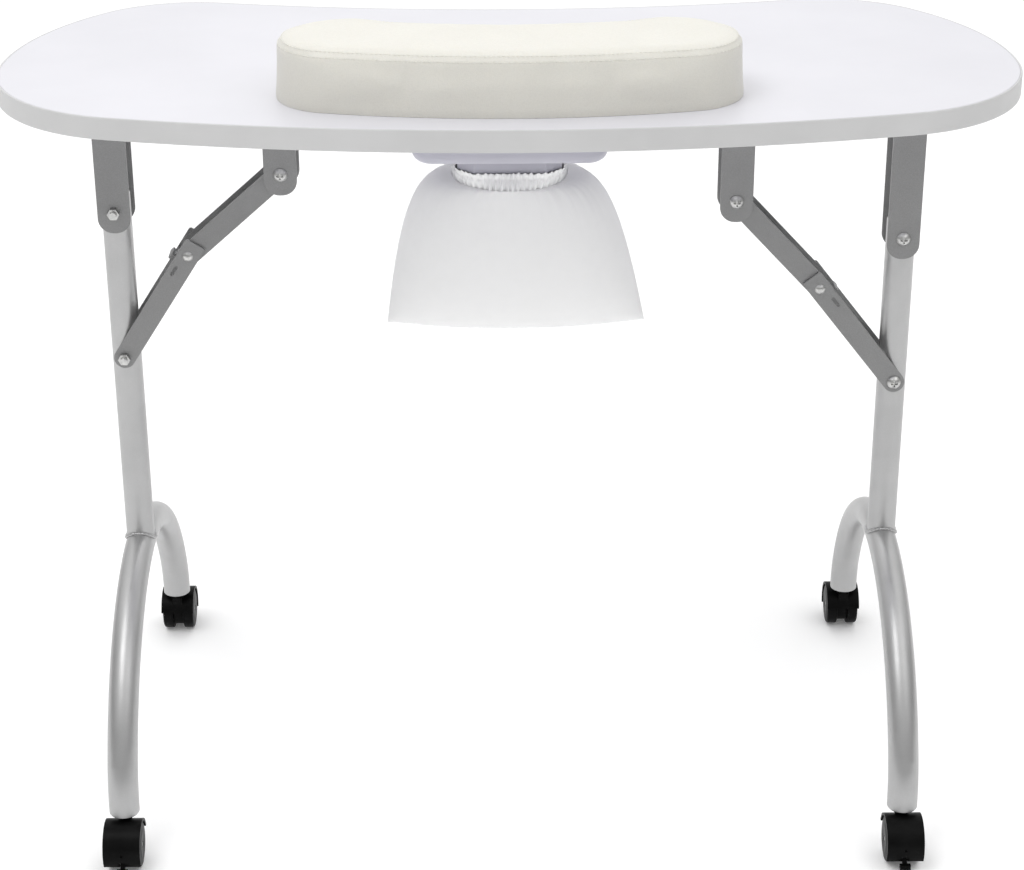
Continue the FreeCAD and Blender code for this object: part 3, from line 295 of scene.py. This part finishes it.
def elastic():
    paint = Paint("elastic", roughness=0.8, Sheen_Weight=0.2)
    paint.colour(paint.ramp(paint.bands(500, "Z"), 0.0, 1.0, grey(0.62), grey(0.78)))
    paint.relief(paint.bands(500, "Z"), depth=0.0002, strength=0.7)
    return paint.material


def base_board():
    """The board under the cushion, painted near black as painted shadow for the dark line where the
    cushion meets the tabletop.
    """
    paint = Paint("base_board", roughness=0.9)
    mottle_noise = paint.noise(scale=700, detail=5, roughness=0.65)
    # painted shadow: these near-black greys stand for the shadow line under the cushion
    paint.colour(paint.mottle(mottle_noise, grey(0.06), grey(0.13)))
    paint.relief(mottle_noise, depth=0.0002, strength=0.6)
    return paint.material


def motor_steel():
    paint = Paint("motor_steel", roughness=0.34, metallic=0.9)
    lines = paint.noise(scale=240, detail=3, stretch=(1.0, 1.0, 12.0))
    paint.colour(paint.mottle(lines, grey(0.38), grey(0.52)))
    paint.gloss(lines, low=0.26, high=0.44)
    paint.relief(lines, depth=0.00005, strength=0.5)
    return paint.material


MATERIALS = {
    "white_laminate": laminate(), "edge_strip": edge_strip(), "grey_steel": painted_steel(),
    "silver_tube": silver_tube(), "zinc": zinc(), "white_plastic": white_plastic(),
    "black_plastic": black_plastic(), "ivory_leather": ivory_leather(), "bag_cloth": bag_cloth(),
    "elastic": elastic(), "base_board": base_board(), "motor_steel": motor_steel(),
}
THREAD = thread()


# ---------------------------------------------------------------- mesh helpers

def new_piece(name, mesh, body, slot, material=None, smooth=40):
    """Link a finished mesh as a piece that rides on a body."""
    piece = bpy.data.objects.new(name, mesh)
    bpy.context.scene.collection.objects.link(piece)
    mesh.materials.clear()
    mesh.materials.append(material or MATERIALS[slot])
    shade(piece, smooth)
    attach(piece, body)
    return piece


def shade(piece, degrees):
    mesh = piece.data
    mesh.shade_smooth()
    mesh.set_sharp_from_angle(angle=math.radians(degrees))


def mesh_from(name, points, faces):
    mesh = bpy.data.meshes.new(name)
    mesh.from_pydata([tuple(p) for p in points], [], faces)
    mesh.update()
    return mesh


def applied(piece):
    """Replace a piece's mesh by what its modifiers make of it."""
    graph = bpy.context.evaluated_depsgraph_get()
    mesh = bpy.data.meshes.new_from_object(piece.evaluated_get(graph))
    piece.modifiers.clear()
    piece.data = mesh
    return piece


CURVED = ("leg_post", "caster_wheels")      # round parts, whose facets stay as they are


def tidy_copy(node):
    """A copy of a CAD node's mesh; flat faces are merged so that bevels run cleanly."""
    mesh = NODES[node].data.copy()
    work = bmesh.new()
    work.from_mesh(mesh)
    bmesh.ops.remove_doubles(work, verts=work.verts, dist=SAME_POINT)
    if not node.startswith(CURVED):
        bmesh.ops.dissolve_limit(work, angle_limit=math.radians(FLAT_ANGLE),
                                 verts=work.verts, edges=work.edges)
    work.to_mesh(mesh)
    work.free()
    return mesh


def refine(node, radius, segments=2):
    """Stand in for a CAD node with a copy whose sharp edges are rounded."""
    piece = bpy.data.objects.new(node + "_detailed", tidy_copy(node))
    bpy.context.scene.collection.objects.link(piece)
    bevel = piece.modifiers.new("edge_rounding", "BEVEL")
    bevel.width = radius
    bevel.segments = segments
    bevel.limit_method = "ANGLE"
    bevel.angle_limit = math.radians(BEVEL_ANGLE)
    bevel.use_clamp_overlap = True
    shade(piece, CREASE_ANGLE)
    bevel.harden_normals = True
    flat = piece.modifiers.new("flat_faces", "WEIGHTED_NORMAL")
    flat.keep_sharp = True
    applied(piece)
    slot = SLOT_OF[node]
    piece.data.materials.clear()
    piece.data.materials.append(MATERIALS[slot])
    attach(piece, BODY_OF[node])
    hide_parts(node)
    return piece


def ring_tube(name, centres, radius, sides=10, closed=True):
    """A thin round bead swept along a list of points."""
    points, faces = [], []
    count = len(centres)
    for index, centre in enumerate(centres):
        ahead = centres[(index + 1) % count] if closed or index < count - 1 else centre
        behind = centres[index - 1] if closed or index else centre
        along = (ahead - behind).normalized()
        across = along.orthogonal() if index == 0 else (across - along * across.dot(along))
        across.normalize()
        other = along.cross(across)
        size = radius(index) if callable(radius) else radius
        for step in range(sides):
            turn = 2 * math.pi * step / sides
            points.append(centre + (across * math.cos(turn) + other * math.sin(turn)) * size)
    for index in range(count if closed else count - 1):
        here, after = index * sides, ((index + 1) % count) * sides
        for step in range(sides):
            turned = (step + 1) % sides
            faces.append((here + step, here + turned, after + turned, after + step))
    if not closed:
        faces.append(tuple(reversed(range(sides))))
        faces.append(tuple((count - 1) * sides + step for step in range(sides)))
    return mesh_from(name, points, faces)


def joined(name, meshes):
    """One mesh from several."""
    work = bmesh.new()
    for mesh in meshes:
        work.from_mesh(mesh)
    result = bpy.data.meshes.new(name)
    work.to_mesh(result)
    work.free()
    for mesh in meshes:
        bpy.data.meshes.remove(mesh)
    return result


# ---------------------------------------------------------------- hard parts

ROUNDED = {
    "tabletop_board": 0.4, "edge_band": 0.9, "vent_grille": 0.5, "fan_housing": 0.5,
    "fan_outlet_collar": 0.7, "motor_bracket": 0.3, "fan_motor": 0.8, "fan_rotor": 0.25,
    "power_inlet": 0.4, "switch_bezel": 0.4, "switch_rocker": 0.5, "bracket_pivot_nuts": 0.45,
}
for node, width in ROUNDED.items():
    refine(node, width * MM)
for side in SIDES:
    for node, width in (("leg_bracket", 0.4), ("brace_bracket", 0.4), ("upper_link", 0.35),
                        ("lower_link", 0.35), ("lock_lever", 0.3), ("leg_post", 0.4)):
        refine("%s_%s" % (node, side), width * MM)
    for end in ENDS:
        refine("caster_hood_%s_%s" % (side, end), 0.8 * MM, 3)
        refine("caster_wheels_%s_%s" % (side, end), 0.8 * MM, 3)
        refine("brake_lever_%s_%s" % (side, end), 0.6 * MM, 3)

for node, piece in NODES.items():
    if not piece.hide_render:
        piece.data.materials.clear()
        piece.data.materials.append(MATERIALS[SLOT_OF[node]])
        shade(piece, CREASE_ANGLE)


CROWN_RADIUS = 220.4 * MM   # how the arched foot bends under its post
WELD_POINTS = 140
WELD_BEAD = 1.7             # mm
WELD_RIPPLE = 0.28          # mm
POINTS_PER_RIPPLE = 5
WELD_PROUD = 0.4 * MM
WELD_FLARE = 1.03           # the bead's ring against the post's own radius


def weld_bead(side):
    """The fillet of weld where the post stands on the arched foot."""
    post_low, post_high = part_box("leg_post_" + side)
    arch_low, arch_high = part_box("leg_arch_" + side)
    middle = (post_low + post_high) / 2
    radius = (post_high.x - post_low.x) / 2
    tube = (arch_high.x - arch_low.x) / 2
    axis_top = arch_high.z - tube
    centres = []
    for step in range(WELD_POINTS):
        turn = 2 * math.pi * step / WELD_POINTS
        x, y = radius * math.cos(turn), radius * math.sin(turn)
        drop = CROWN_RADIUS - math.sqrt(CROWN_RADIUS ** 2 - y ** 2)
        z = axis_top - drop + math.sqrt(max(tube ** 2 - x ** 2, WELD_PROUD ** 2))
        centres.append(Vector((middle.x + x * WELD_FLARE, middle.y + y * WELD_FLARE,
                               z + WELD_PROUD)))

    def ripple(index):
        wave = math.sin(index * 2 * math.pi / POINTS_PER_RIPPLE)
        return (WELD_BEAD + WELD_RIPPLE * wave) * MM

    mesh = ring_tube("weld", centres, ripple)
    return new_piece("weld_bead_" + side, mesh, side + "_leg", "silver_tube")


for side in SIDES:
    weld_bead(side)


SHANK = 3.0 * MM            # a bolt's shank radius
SHANK_SLACK = 0.4 * MM
END_DEPTH = 0.6 * MM        # vertices this near a bolt's end belong to that end
BOX_SLACK = 1e-5
THREAD_START = 0.3 * MM     # the first turn's distance from the shank's end
THREAD_BEAD = 0.22 * MM


def bolt_threads(name, node, body):
    """Raised thread turns on the shank ends that stand out beyond the nuts."""
    mesh = NODES[node].data
    pitch, steps_per_turn, turn_count = 1.0 * MM, 32, 3
    turns = []
    for low, high in loose_parts(mesh):
        middle = (low + high) / 2
        plain_end = shank_end(mesh, low, high)
        if plain_end is None:
            continue
        start, facing = plain_end
        centres = []
        for step in range(turn_count * steps_per_turn):
            turn = 2 * math.pi * step / steps_per_turn
            along = start - facing * (THREAD_START + pitch * step / steps_per_turn)
            centres.append(Vector((middle.x + SHANK * math.cos(turn), along,
                                   middle.z + SHANK * math.sin(turn))))
        turns.append(ring_tube("turn", centres, THREAD_BEAD, 6, closed=False))
    if not turns:
        return None
    return new_piece(name, joined(name, turns), body, "zinc")


def loose_parts(mesh):
    """The boxes of a mesh's separate solids."""
    work = bmesh.new()
    work.from_mesh(mesh)
    bmesh.ops.remove_doubles(work, verts=work.verts, dist=SAME_POINT)
    seen, boxes = set(), []
    for vert in work.verts:
        if vert in seen:
            continue
        stack, group = [vert], []
        seen.add(vert)
        while stack:
            current = stack.pop()
            group.append(current.co.copy())
            for edge in current.link_edges:
                other = edge.other_vert(current)
                if other not in seen:
                    seen.add(other)
                    stack.append(other)
        low = Vector(map(min, zip(*group)))
        high = Vector(map(max, zip(*group)))
        boxes.append((low, high))
    work.free()
    return boxes


def shank_end(mesh, low, high):
    """Where a bolt's plain end is along Y, and which way it points."""
    middle_x, middle_z = (low.x + high.x) / 2, (low.z + high.z) / 2
    reach = {}
    for end, facing in ((low.y, -1), (high.y, 1)):
        widest = 0.0
        for vert in mesh.vertices:
            point = vert.co
            inside = (low.x - BOX_SLACK <= point.x <= high.x + BOX_SLACK
                      and low.z - BOX_SLACK <= point.z <= high.z + BOX_SLACK)
            if inside and abs(point.y - end) < END_DEPTH:
                widest = max(widest, math.hypot(point.x - middle_x, point.z - middle_z))
        reach[facing] = (widest, end)
    facing = min(reach, key=lambda key: abs(reach[key][0] - SHANK))
    if abs(reach[facing][0] - SHANK) > SHANK_SLACK:
        return None
    return reach[facing][1], facing


bolt_threads("pivot_bolt_threads", "bracket_pivot_bolts", "table_top")
for side in SIDES:
    bolt_threads("brace_bolt_threads_" + side, "brace_bolt_" + side, side + "_leg")


# ---------------------------------------------------------------- wrist cushion

PAD_VOXEL = 3.5 * MM
PAD_PRESSURE = 4.0
PAD_STEPS = 20
PAD_SWELL = 2.5 * MM        # how far the cover may swell, and how much lower it starts
PAD_SWELL_SHARE = 0.9       # the part of that taken off the height
SWELL_RISE = 40 * MM        # the height over which the swelling grows from nothing
FOOT_REACH = 9 * MM         # the height over which the foot is squared up
FOOT_FLAT = 0.75            # voxels: everything lower than this lies flat
SEAM_SHARE = 0.915          # the seam's height as a share of the pad's
SEAM_HALF = 1.2 * MM
SEAM_FADE = 3               # half widths from the seam where it no longer shows
SEAM_DEPTH = 0.8 * MM
LIP_RISE = 2.4 * MM         # the rolled lip lies this far above the seam
LIP_DEPTH = 0.3 * MM
LIP_LIFT = 0.3              # the lip swells a little upwards too
TOP_FACING = 0.93           # normals steeper than this belong to the crown
RING_INNER = (0.80, 0.25)   # where the rays towards the cover's wall start
RING_AIM = (0.20, 0.75)     # and how they fan out
STITCH_ROWS = (-2.6 * MM, 1.6 * MM)
STITCH_LIFT, STITCH_DIP = 0.55, 0.15        # mm above the cover and into it
STITCH_THREAD = 0.32 * MM


def walls_of(mesh):
    """A mesh's faces, ready for ray casts."""
    return BVHTree.FromPolygons([v.co for v in mesh.vertices], [p.vertices for p in mesh.polygons])


def inflate(mesh, voxel, pressure, steps, cap, rise):
    """Swell a closed mesh with cloth pressure; the cap on the move grows from nothing at the foot."""
    pad = bpy.data.objects.new("inflating", mesh)
    bpy.context.scene.collection.objects.link(pad)
    remesh = pad.modifiers.new("remesh", "REMESH")
    remesh.mode = "VOXEL"
    remesh.voxel_size = voxel
    applied(pad)
    start = [vert.co.copy() for vert in pad.data.vertices]
    cloth = pad.modifiers.new("cloth", "CLOTH")
    cloth.settings.use_pressure = True
    cloth.settings.uniform_pressure_force = pressure
    cloth.settings.effector_weights.gravity = 0
    cloth.settings.quality = 6
    cloth.settings.tension_stiffness = 25
    cloth.settings.compression_stiffness = 25
    cloth.point_cache.frame_end = steps
    for step in range(1, steps + 1):
        bpy.context.scene.frame_set(step)
    applied(pad)
    bpy.context.scene.frame_set(1)
    foot = min(rest.z for rest in start)
    for vert, rest in zip(pad.data.vertices, start):
        moved = vert.co - rest
        limit = cap * min((rest.z - foot) / rise, 1)
        if moved.length > limit:
            vert.co = rest + moved.normalized() * limit
    result = pad.data.copy()
    bpy.data.objects.remove(pad)
    return result


def square_foot(mesh, outline, floor, voxel, reach):
    """Let the remeshed foot follow the outline again and stand flat."""
    tree = KDTree(len(outline))
    for index, place in enumerate(outline):
        tree.insert((place.x, place.y, 0), index)
    tree.balance()
    for vert in mesh.vertices:
        height = vert.co.z - floor
        if height > reach:
            continue
        nearest, _, gap = tree.find((vert.co.x, vert.co.y, 0))
        if gap < voxel:
            share = 1 - max(height - voxel, 0) / (reach - voxel)
            vert.co.x += (nearest.x - vert.co.x) * share
            vert.co.y += (nearest.y - vert.co.y) * share
        if height < FOOT_FLAT * voxel:
            vert.co.z = floor


def make_cushion():
    """A crowned pad in a sewn cover: flat underneath, a pinched seam near the top edge."""
    low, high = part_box("cushion_pad")
    centre = (low + high) / 2
    mesh = NODES["cushion_pad"].data.copy()
    size = high - low
    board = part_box("cushion_base")[1].z
    for vert in mesh.vertices:
        # the recess under the pad is filled by its board, so the cover goes straight across
        if vert.co.z < board + 0.01 * MM:
            vert.co.z = low.z
        vert.co.z = low.z + (vert.co.z - low.z) * (1 - PAD_SWELL_SHARE * PAD_SWELL / size.z)
    walls = walls_of(mesh)
    outline = [place for place, _ in contour(walls, centre.z, centre, size.x / 2, size.y / 2)]
    swollen = inflate(mesh, PAD_VOXEL, PAD_PRESSURE, PAD_STEPS, PAD_SWELL, SWELL_RISE)
    square_foot(swollen, outline, low.z, PAD_VOXEL, FOOT_REACH)
    pad = bpy.data.objects.new("cushion_cover", swollen)
    bpy.context.scene.collection.objects.link(pad)
    calm = pad.modifiers.new("calm", "SMOOTH")
    calm.factor = 0.5
    calm.iterations = 10
    # the foot keeps its crisp edge
    above = pad.vertex_groups.new(name="above_foot")
    for vert in pad.data.vertices:
        share = (vert.co.z - low.z - 2 * PAD_VOXEL) / FOOT_REACH
        above.add([vert.index], min(max(share, 0), 1), "REPLACE")
    calm.vertex_group = above.name
    smooth = pad.modifiers.new("subdivision", "SUBSURF")
    smooth.levels = smooth.render_levels = 1
    applied(pad)
    square_foot(pad.data, outline, low.z, PAD_VOXEL / 2, FOOT_REACH)
    seam = low.z + SEAM_SHARE * size.z
    for vert in pad.data.vertices:
        vert.co.z = max(vert.co.z, low.z)
        reach = (vert.co.z - seam) / SEAM_HALF
        if abs(reach) < SEAM_FADE and abs(vert.normal.z) < TOP_FACING:
            inward = Vector((vert.normal.x, vert.normal.y, 0))
            vert.co -= inward * (SEAM_DEPTH * math.exp(-reach * reach))
        edge = (vert.co.z - (seam + LIP_RISE)) / SEAM_HALF
        if abs(edge) < SEAM_FADE and abs(vert.normal.z) < TOP_FACING:
            outward = Vector((vert.normal.x, vert.normal.y, LIP_LIFT))
            vert.co += outward * (LIP_DEPTH * math.exp(-edge * edge))
    mesh = pad.data
    bpy.data.objects.remove(pad)
    piece = new_piece("cushion_cover", mesh, "wrist_cushion", "ivory_leather", smooth=60)
    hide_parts("cushion_pad")
    return piece, seam, centre


def contour(tree, height, centre, half_length, half_width, count=900):
    """Points and outward normals around the cover at one height, evenly spaced."""
    found = []
    for step in range(count):
        turn = 2 * math.pi * step / count
        # start from an inner ring, so that the hollow back is reached from inside too
        inner = Vector((centre.x + math.cos(turn) * half_length * RING_INNER[0],
                        centre.y + math.sin(turn) * half_width * RING_INNER[1], height))
        direction = Vector((math.cos(turn) * half_length * RING_AIM[0] + 1e-9,
                            math.sin(turn) * half_width * RING_AIM[1], 0)).normalized()
        place, normal, _, _ = tree.ray_cast(inner, direction)
        if place is not None:
            found.append((place, normal))
    return found


def stitch_mesh(start, end, outward, radius):
    """One stitch: a short rounded loop of thread that dips into the cover at both ends."""
    centres = []
    steps = 7
    for step in range(steps):
        share = step / (steps - 1)
        lift = math.sin(math.pi * share) * STITCH_LIFT * MM - STITCH_DIP * MM
        centres.append(start.lerp(end, share) + outward * lift)
    return ring_tube("stitch", centres, radius, 6, closed=False)


def make_stitches(cover, seam, centre):
    """Two rows of stitches, below and above the seam."""
    tree = walls_of(cover.data)
    low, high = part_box("cushion_pad")
    half = (high - low) / 2
    stitches = []
    for offset in STITCH_ROWS:
        path = contour(tree, seam + offset, centre, half.x, half.y)
        lengths = [0.0]
        for index in range(1, len(path)):
            lengths.append(lengths[-1] + (path[index][0] - path[index - 1][0]).length)
        total = lengths[-1]
        pitch, covered = 4.0 * MM, 3.0 * MM
        count = int(total / pitch)
        xs, ys = [place.x for place, _ in path], [place.y for place, _ in path]
        for index in range(count):
            begin, finish = index * total / count, index * total / count + covered
            ends = [Vector((float(np.interp(at, lengths, xs)), float(np.interp(at, lengths, ys)),
                            seam + offset)) for at in (begin, finish)]
            nearest = min(int(np.searchsorted(lengths, begin)), len(path) - 1)
            outward = Vector((path[nearest][1].x, path[nearest][1].y, 0)).normalized()
            stitches.append(stitch_mesh(ends[0], ends[1], outward, STITCH_THREAD))
    return new_piece("cushion_stitches", joined("cushion_stitches", stitches), "wrist_cushion",
                     "ivory_leather", THREAD)


cover, seam_height, cushion_centre = make_cushion()
make_stitches(cover, seam_height, cushion_centre)


# ---------------------------------------------------------------- dust bag

BAG_LOW, BAG_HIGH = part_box("dust_bag")
BAG_CENTRE = (BAG_LOW + BAG_HIGH) / 2
COLLAR_LOW, COLLAR_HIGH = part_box("fan_outlet_collar")
NECK_DROP = 21 * MM
NECK_RADIUS = 52.5 * MM
RUFFLE_DROP = 5.5 * MM
BAG_NECK_HALF = 54          # mm, across and deep alike
BAG_WIDENING = 68.5         # mm gained on each side by the bottom seam,
BAG_WIDENING_POWER = 0.32   # most of it high up
BAG_SEAM_HALF = 1.2         # mm
BAG_SHIFT = 5.5             # mm the bottom hangs towards +X
BAG_CORNER_LIFT = 6.0       # mm the seam's corners hang higher than its middle
BAG_HALF_WIDTH = 121        # mm
ROW_CROWDING = 1.25         # the rows of the mesh are closer near the neck
COLLAR_FACET = 33 / 48      # the collar's flat sides against its half width
PLEAT_COUNT = 62
PLEAT_DEPTH, CRUMPLE_DEPTH = 1.35, 1.1      # mm
PINCH_PLACE, PINCH_HALF = 0.28, 0.12        # where the elastic draws the neck in
PINCH_SHARE = 0.65          # how much of the pleats it takes away


def gathers(turn, seed, spread):
    """Uneven folds of gathered cloth around the neck."""
    point = Vector((math.cos(turn) * spread, math.sin(turn) * spread, seed))
    return noise.noise(point) + 0.6 * noise.noise(point * 2.3)


def octagon_reach(turn, half, facet):
    """Distance from the middle to the collar's wall in one direction."""
    reach = half / max(abs(math.cos(turn)), abs(math.sin(turn)))
    diagonal = (half + facet) / (abs(math.cos(turn)) + abs(math.sin(turn)))
    return min(reach, diagonal)


def bag_point(turn, share):
    """A point of the bag's skin: share 0 at the neck's foot, 1 at the bottom seam."""
    wide = BAG_NECK_HALF + BAG_WIDENING * share ** BAG_WIDENING_POWER
    belly = math.sqrt(max(1 - share ** 2, 0))
    deep = BAG_SEAM_HALF + (BAG_NECK_HALF - BAG_SEAM_HALF) * belly
    fade = (1 - share) ** 3
    folds = 1.0 * fade * gathers(turn, 3.0, 9.0) + 0.5 * (1 - share) * gathers(turn, 8.0, 2.2)
    soft = 0.9 * math.sin(math.pi * min(share, 1)) * noise.noise(
        Vector((math.cos(turn) * 1.1, math.sin(turn) * 0.6, share * 1.3 + 5)))
    x = (wide + folds * 0.7) * math.cos(turn) + BAG_SHIFT * share
    y = (deep + (folds + soft * 2.2) * min(deep / 20, 1)) * math.sin(turn)
    lift = BAG_CORNER_LIFT * (x / BAG_HALF_WIDTH) ** 2 * share
    bottom = BAG_LOW.z + lift * MM
    top = BAG_HIGH.z - NECK_DROP
    return Vector((BAG_CENTRE.x + x * MM, BAG_CENTRE.y + y * MM, top + (bottom - top) * share))


def make_bag():
    """The hanging bag: a tube of cloth from the neck down to its bottom seam."""
    around, down = 320, 90
    points, faces = [], []
    for row in range(down + 1):
        share = (row / down) ** ROW_CROWDING
        for step in range(around):
            points.append(bag_point(2 * math.pi * step / around, share))
    for row in range(down):
        for step in range(around):
            a, b = row * around + step, row * around + (step + 1) % around
            faces.append((a, b, b + around, a + around))
    # the sewn bottom closes the two panels' edges on each other
    last = down * around
    half = around // 2
    for step in range(half):
        a, b = last + step, last + step + 1
        c, d = last + (around - step - 1) % around, last + (around - step) % around
        corners = tuple(dict.fromkeys((a, b, c, d)))
        if len(corners) > 2:
            faces.append(corners)
    mesh = mesh_from("dust_bag_cloth", points, faces)
    piece = new_piece("dust_bag_cloth", mesh, "dust_bag", "bag_cloth", smooth=180)
    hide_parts("dust_bag")
    return piece


def make_ruffle():
    """The gathered neck: crowded pleats drawn in round the collar by the elastic."""
    around, down = 960, 26
    half = (COLLAR_HIGH.x - COLLAR_LOW.x) / 2
    points, faces = [], []
    top, bottom = BAG_HIGH.z - RUFFLE_DROP, BAG_HIGH.z - NECK_DROP - 4 * MM
    for row in range(down + 1):
        share = row / down
        z = top + (bottom - top) * share
        pinch = math.exp(-((share - PINCH_PLACE) / PINCH_HALF) ** 2)
        for step in range(around):
            turn = 2 * math.pi * step / around
            flat = octagon_reach(turn, half, half * COLLAR_FACET) + 1.6 * MM
            reach = flat + (NECK_RADIUS - flat) * min(share * 1.1, 1)
            pleat = math.sin(turn * PLEAT_COUNT + 2.2 * gathers(turn, 1.0, 3.0) + 1.5 * share)
            fine = gathers(turn, 4.0 + 2 * share, 16.0)
            swell = (PLEAT_DEPTH * pleat + CRUMPLE_DEPTH * fine) * (1 - PINCH_SHARE * pinch)
            swell *= 0.55 + 0.45 * math.sin(math.pi * share)
            reach += max(swell, -1.2) * MM + 0.9 * MM * (1 - pinch)
            frill = (0.9 * pleat + 1.2 * fine) * MM * (1 - share) ** 2
            points.append(Vector((BAG_CENTRE.x + reach * math.cos(turn),
                                  BAG_CENTRE.y + reach * math.sin(turn), z + frill)))
    for row in range(down):
        for step in range(around):
            a, b = row * around + step, row * around + (step + 1) % around
            faces.append((a, b, b + around, a + around))
    mesh = mesh_from("bag_ruffle", points, faces)
    piece = new_piece("bag_ruffle", mesh, "dust_bag", "bag_cloth", smooth=180)
    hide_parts("bag_elastic")
    return piece


bag = make_bag()
ruffle = make_ruffle()
for cloth in (bag, ruffle):
    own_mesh(cloth)


# ---------------------------------------------------------------- stage, light and camera

FLOOR_HALF = 30
CAMERA_ANGLES = (24.796, -0.302, -0.243)    # pitch, yaw and roll in degrees
CAMERA_PLACE = (-0.0117, -2.1272, 1.3459)


def make_floor():
    """A plain pale floor, wide enough to have no edge in view."""
    corners = [(x * FLOOR_HALF, y * FLOOR_HALF, 0) for x, y in ((-1, -1), (1, -1), (1, 1), (-1, 1))]
    mesh = mesh_from("floor", corners, [(0, 1, 2, 3)])
    floor = bpy.data.objects.new("floor", mesh)
    bpy.context.scene.collection.objects.link(floor)
    paint = Paint("floor_paint", roughness=0.9, Specular_IOR_Level=0.1, Emission_Strength=0.09)
    paint.shader.inputs["Emission Color"].default_value = (1, 1, 1, 1)
    paint.colour(paint.mottle(paint.noise(scale=2, detail=2), grey(0.965), grey(0.975)))
    mesh.materials.append(paint.material)


def sky_gradient(tree, horizon, overhead, behind):
    """A soft dome of light: dim at the horizon, bright overhead and lighter behind the table."""
    place = tree.nodes.new("ShaderNodeTexCoord")
    parts = tree.nodes.new("ShaderNodeSeparateXYZ")
    level = tree.nodes.new("ShaderNodeMapRange")
    level.inputs["To Min"].default_value = horizon
    level.inputs["To Max"].default_value = overhead
    tree.links.new(place.outputs["Generated"], parts.inputs["Vector"])
    tree.links.new(parts.outputs["Z"], level.inputs["Value"])
    rear = tree.nodes.new("ShaderNodeMapRange")
    rear.inputs["To Max"].default_value = behind
    total = tree.nodes.new("ShaderNodeMath")
    tree.links.new(parts.outputs["Y"], rear.inputs["Value"])
    tree.links.new(level.outputs["Result"], total.inputs[0])
    tree.links.new(rear.outputs["Result"], total.inputs[1])
    tree.links.new(total.outputs["Value"], tree.nodes["Background"].inputs["Strength"])
    tree.nodes["Background"].inputs["Color"].default_value = (1, 1, 1, 1)


def area_light(name, place, target, size, power):
    data = bpy.data.lights.new(name, "AREA")
    data.shape = "DISK"
    data.size = size
    data.energy = power
    light = bpy.data.objects.new(name, data)
    light.location = place
    light.rotation_euler = (Vector(target) - Vector(place)).to_track_quat("-Z", "Y").to_euler()
    bpy.context.scene.collection.objects.link(light)


def make_camera():
    """A long lens, looking down at the front of the table from standing height."""
    pitch, yaw, roll = (math.radians(angle) for angle in CAMERA_ANGLES)
    across = Vector((math.cos(yaw), math.sin(yaw), 0))
    ahead = Vector((-math.sin(yaw) * math.cos(pitch), math.cos(yaw) * math.cos(pitch), -math.sin(pitch)))
    above = across.cross(ahead)
    right = across * math.cos(roll) + above * math.sin(roll)
    up = above * math.cos(roll) - across * math.sin(roll)
    data = bpy.data.cameras.new("camera")
    data.sensor_width = 36
    data.lens = 86.2
    data.shift_x, data.shift_y = 0.0018, -0.0268
    data.clip_end = 200
    camera = bpy.data.objects.new("camera", data)
    turn = Matrix((right, up, -ahead)).transposed().to_4x4()
    camera.matrix_world = Matrix.Translation(CAMERA_PLACE) @ turn
    bpy.context.scene.collection.objects.link(camera)
    bpy.context.scene.camera = camera


make_floor()
world = bpy.data.worlds.new("studio")
bpy.context.scene.world = world
world.use_nodes = True
sky_gradient(world.node_tree, horizon=0.10, overhead=1.17, behind=0.6)
area_light("key", (-1.1, -1.0, 3.0), (0, 0, 0.5), 1.6, 20)
area_light("fill", (1.6, -1.2, 2.6), (0, 0, 0.5), 2.0, 7)
area_light("back", (0, 2.4, 2.4), (0, 0, 0.6), 2.2, 6)
make_camera()
bpy.context.scene.view_settings.view_transform = "Standard"
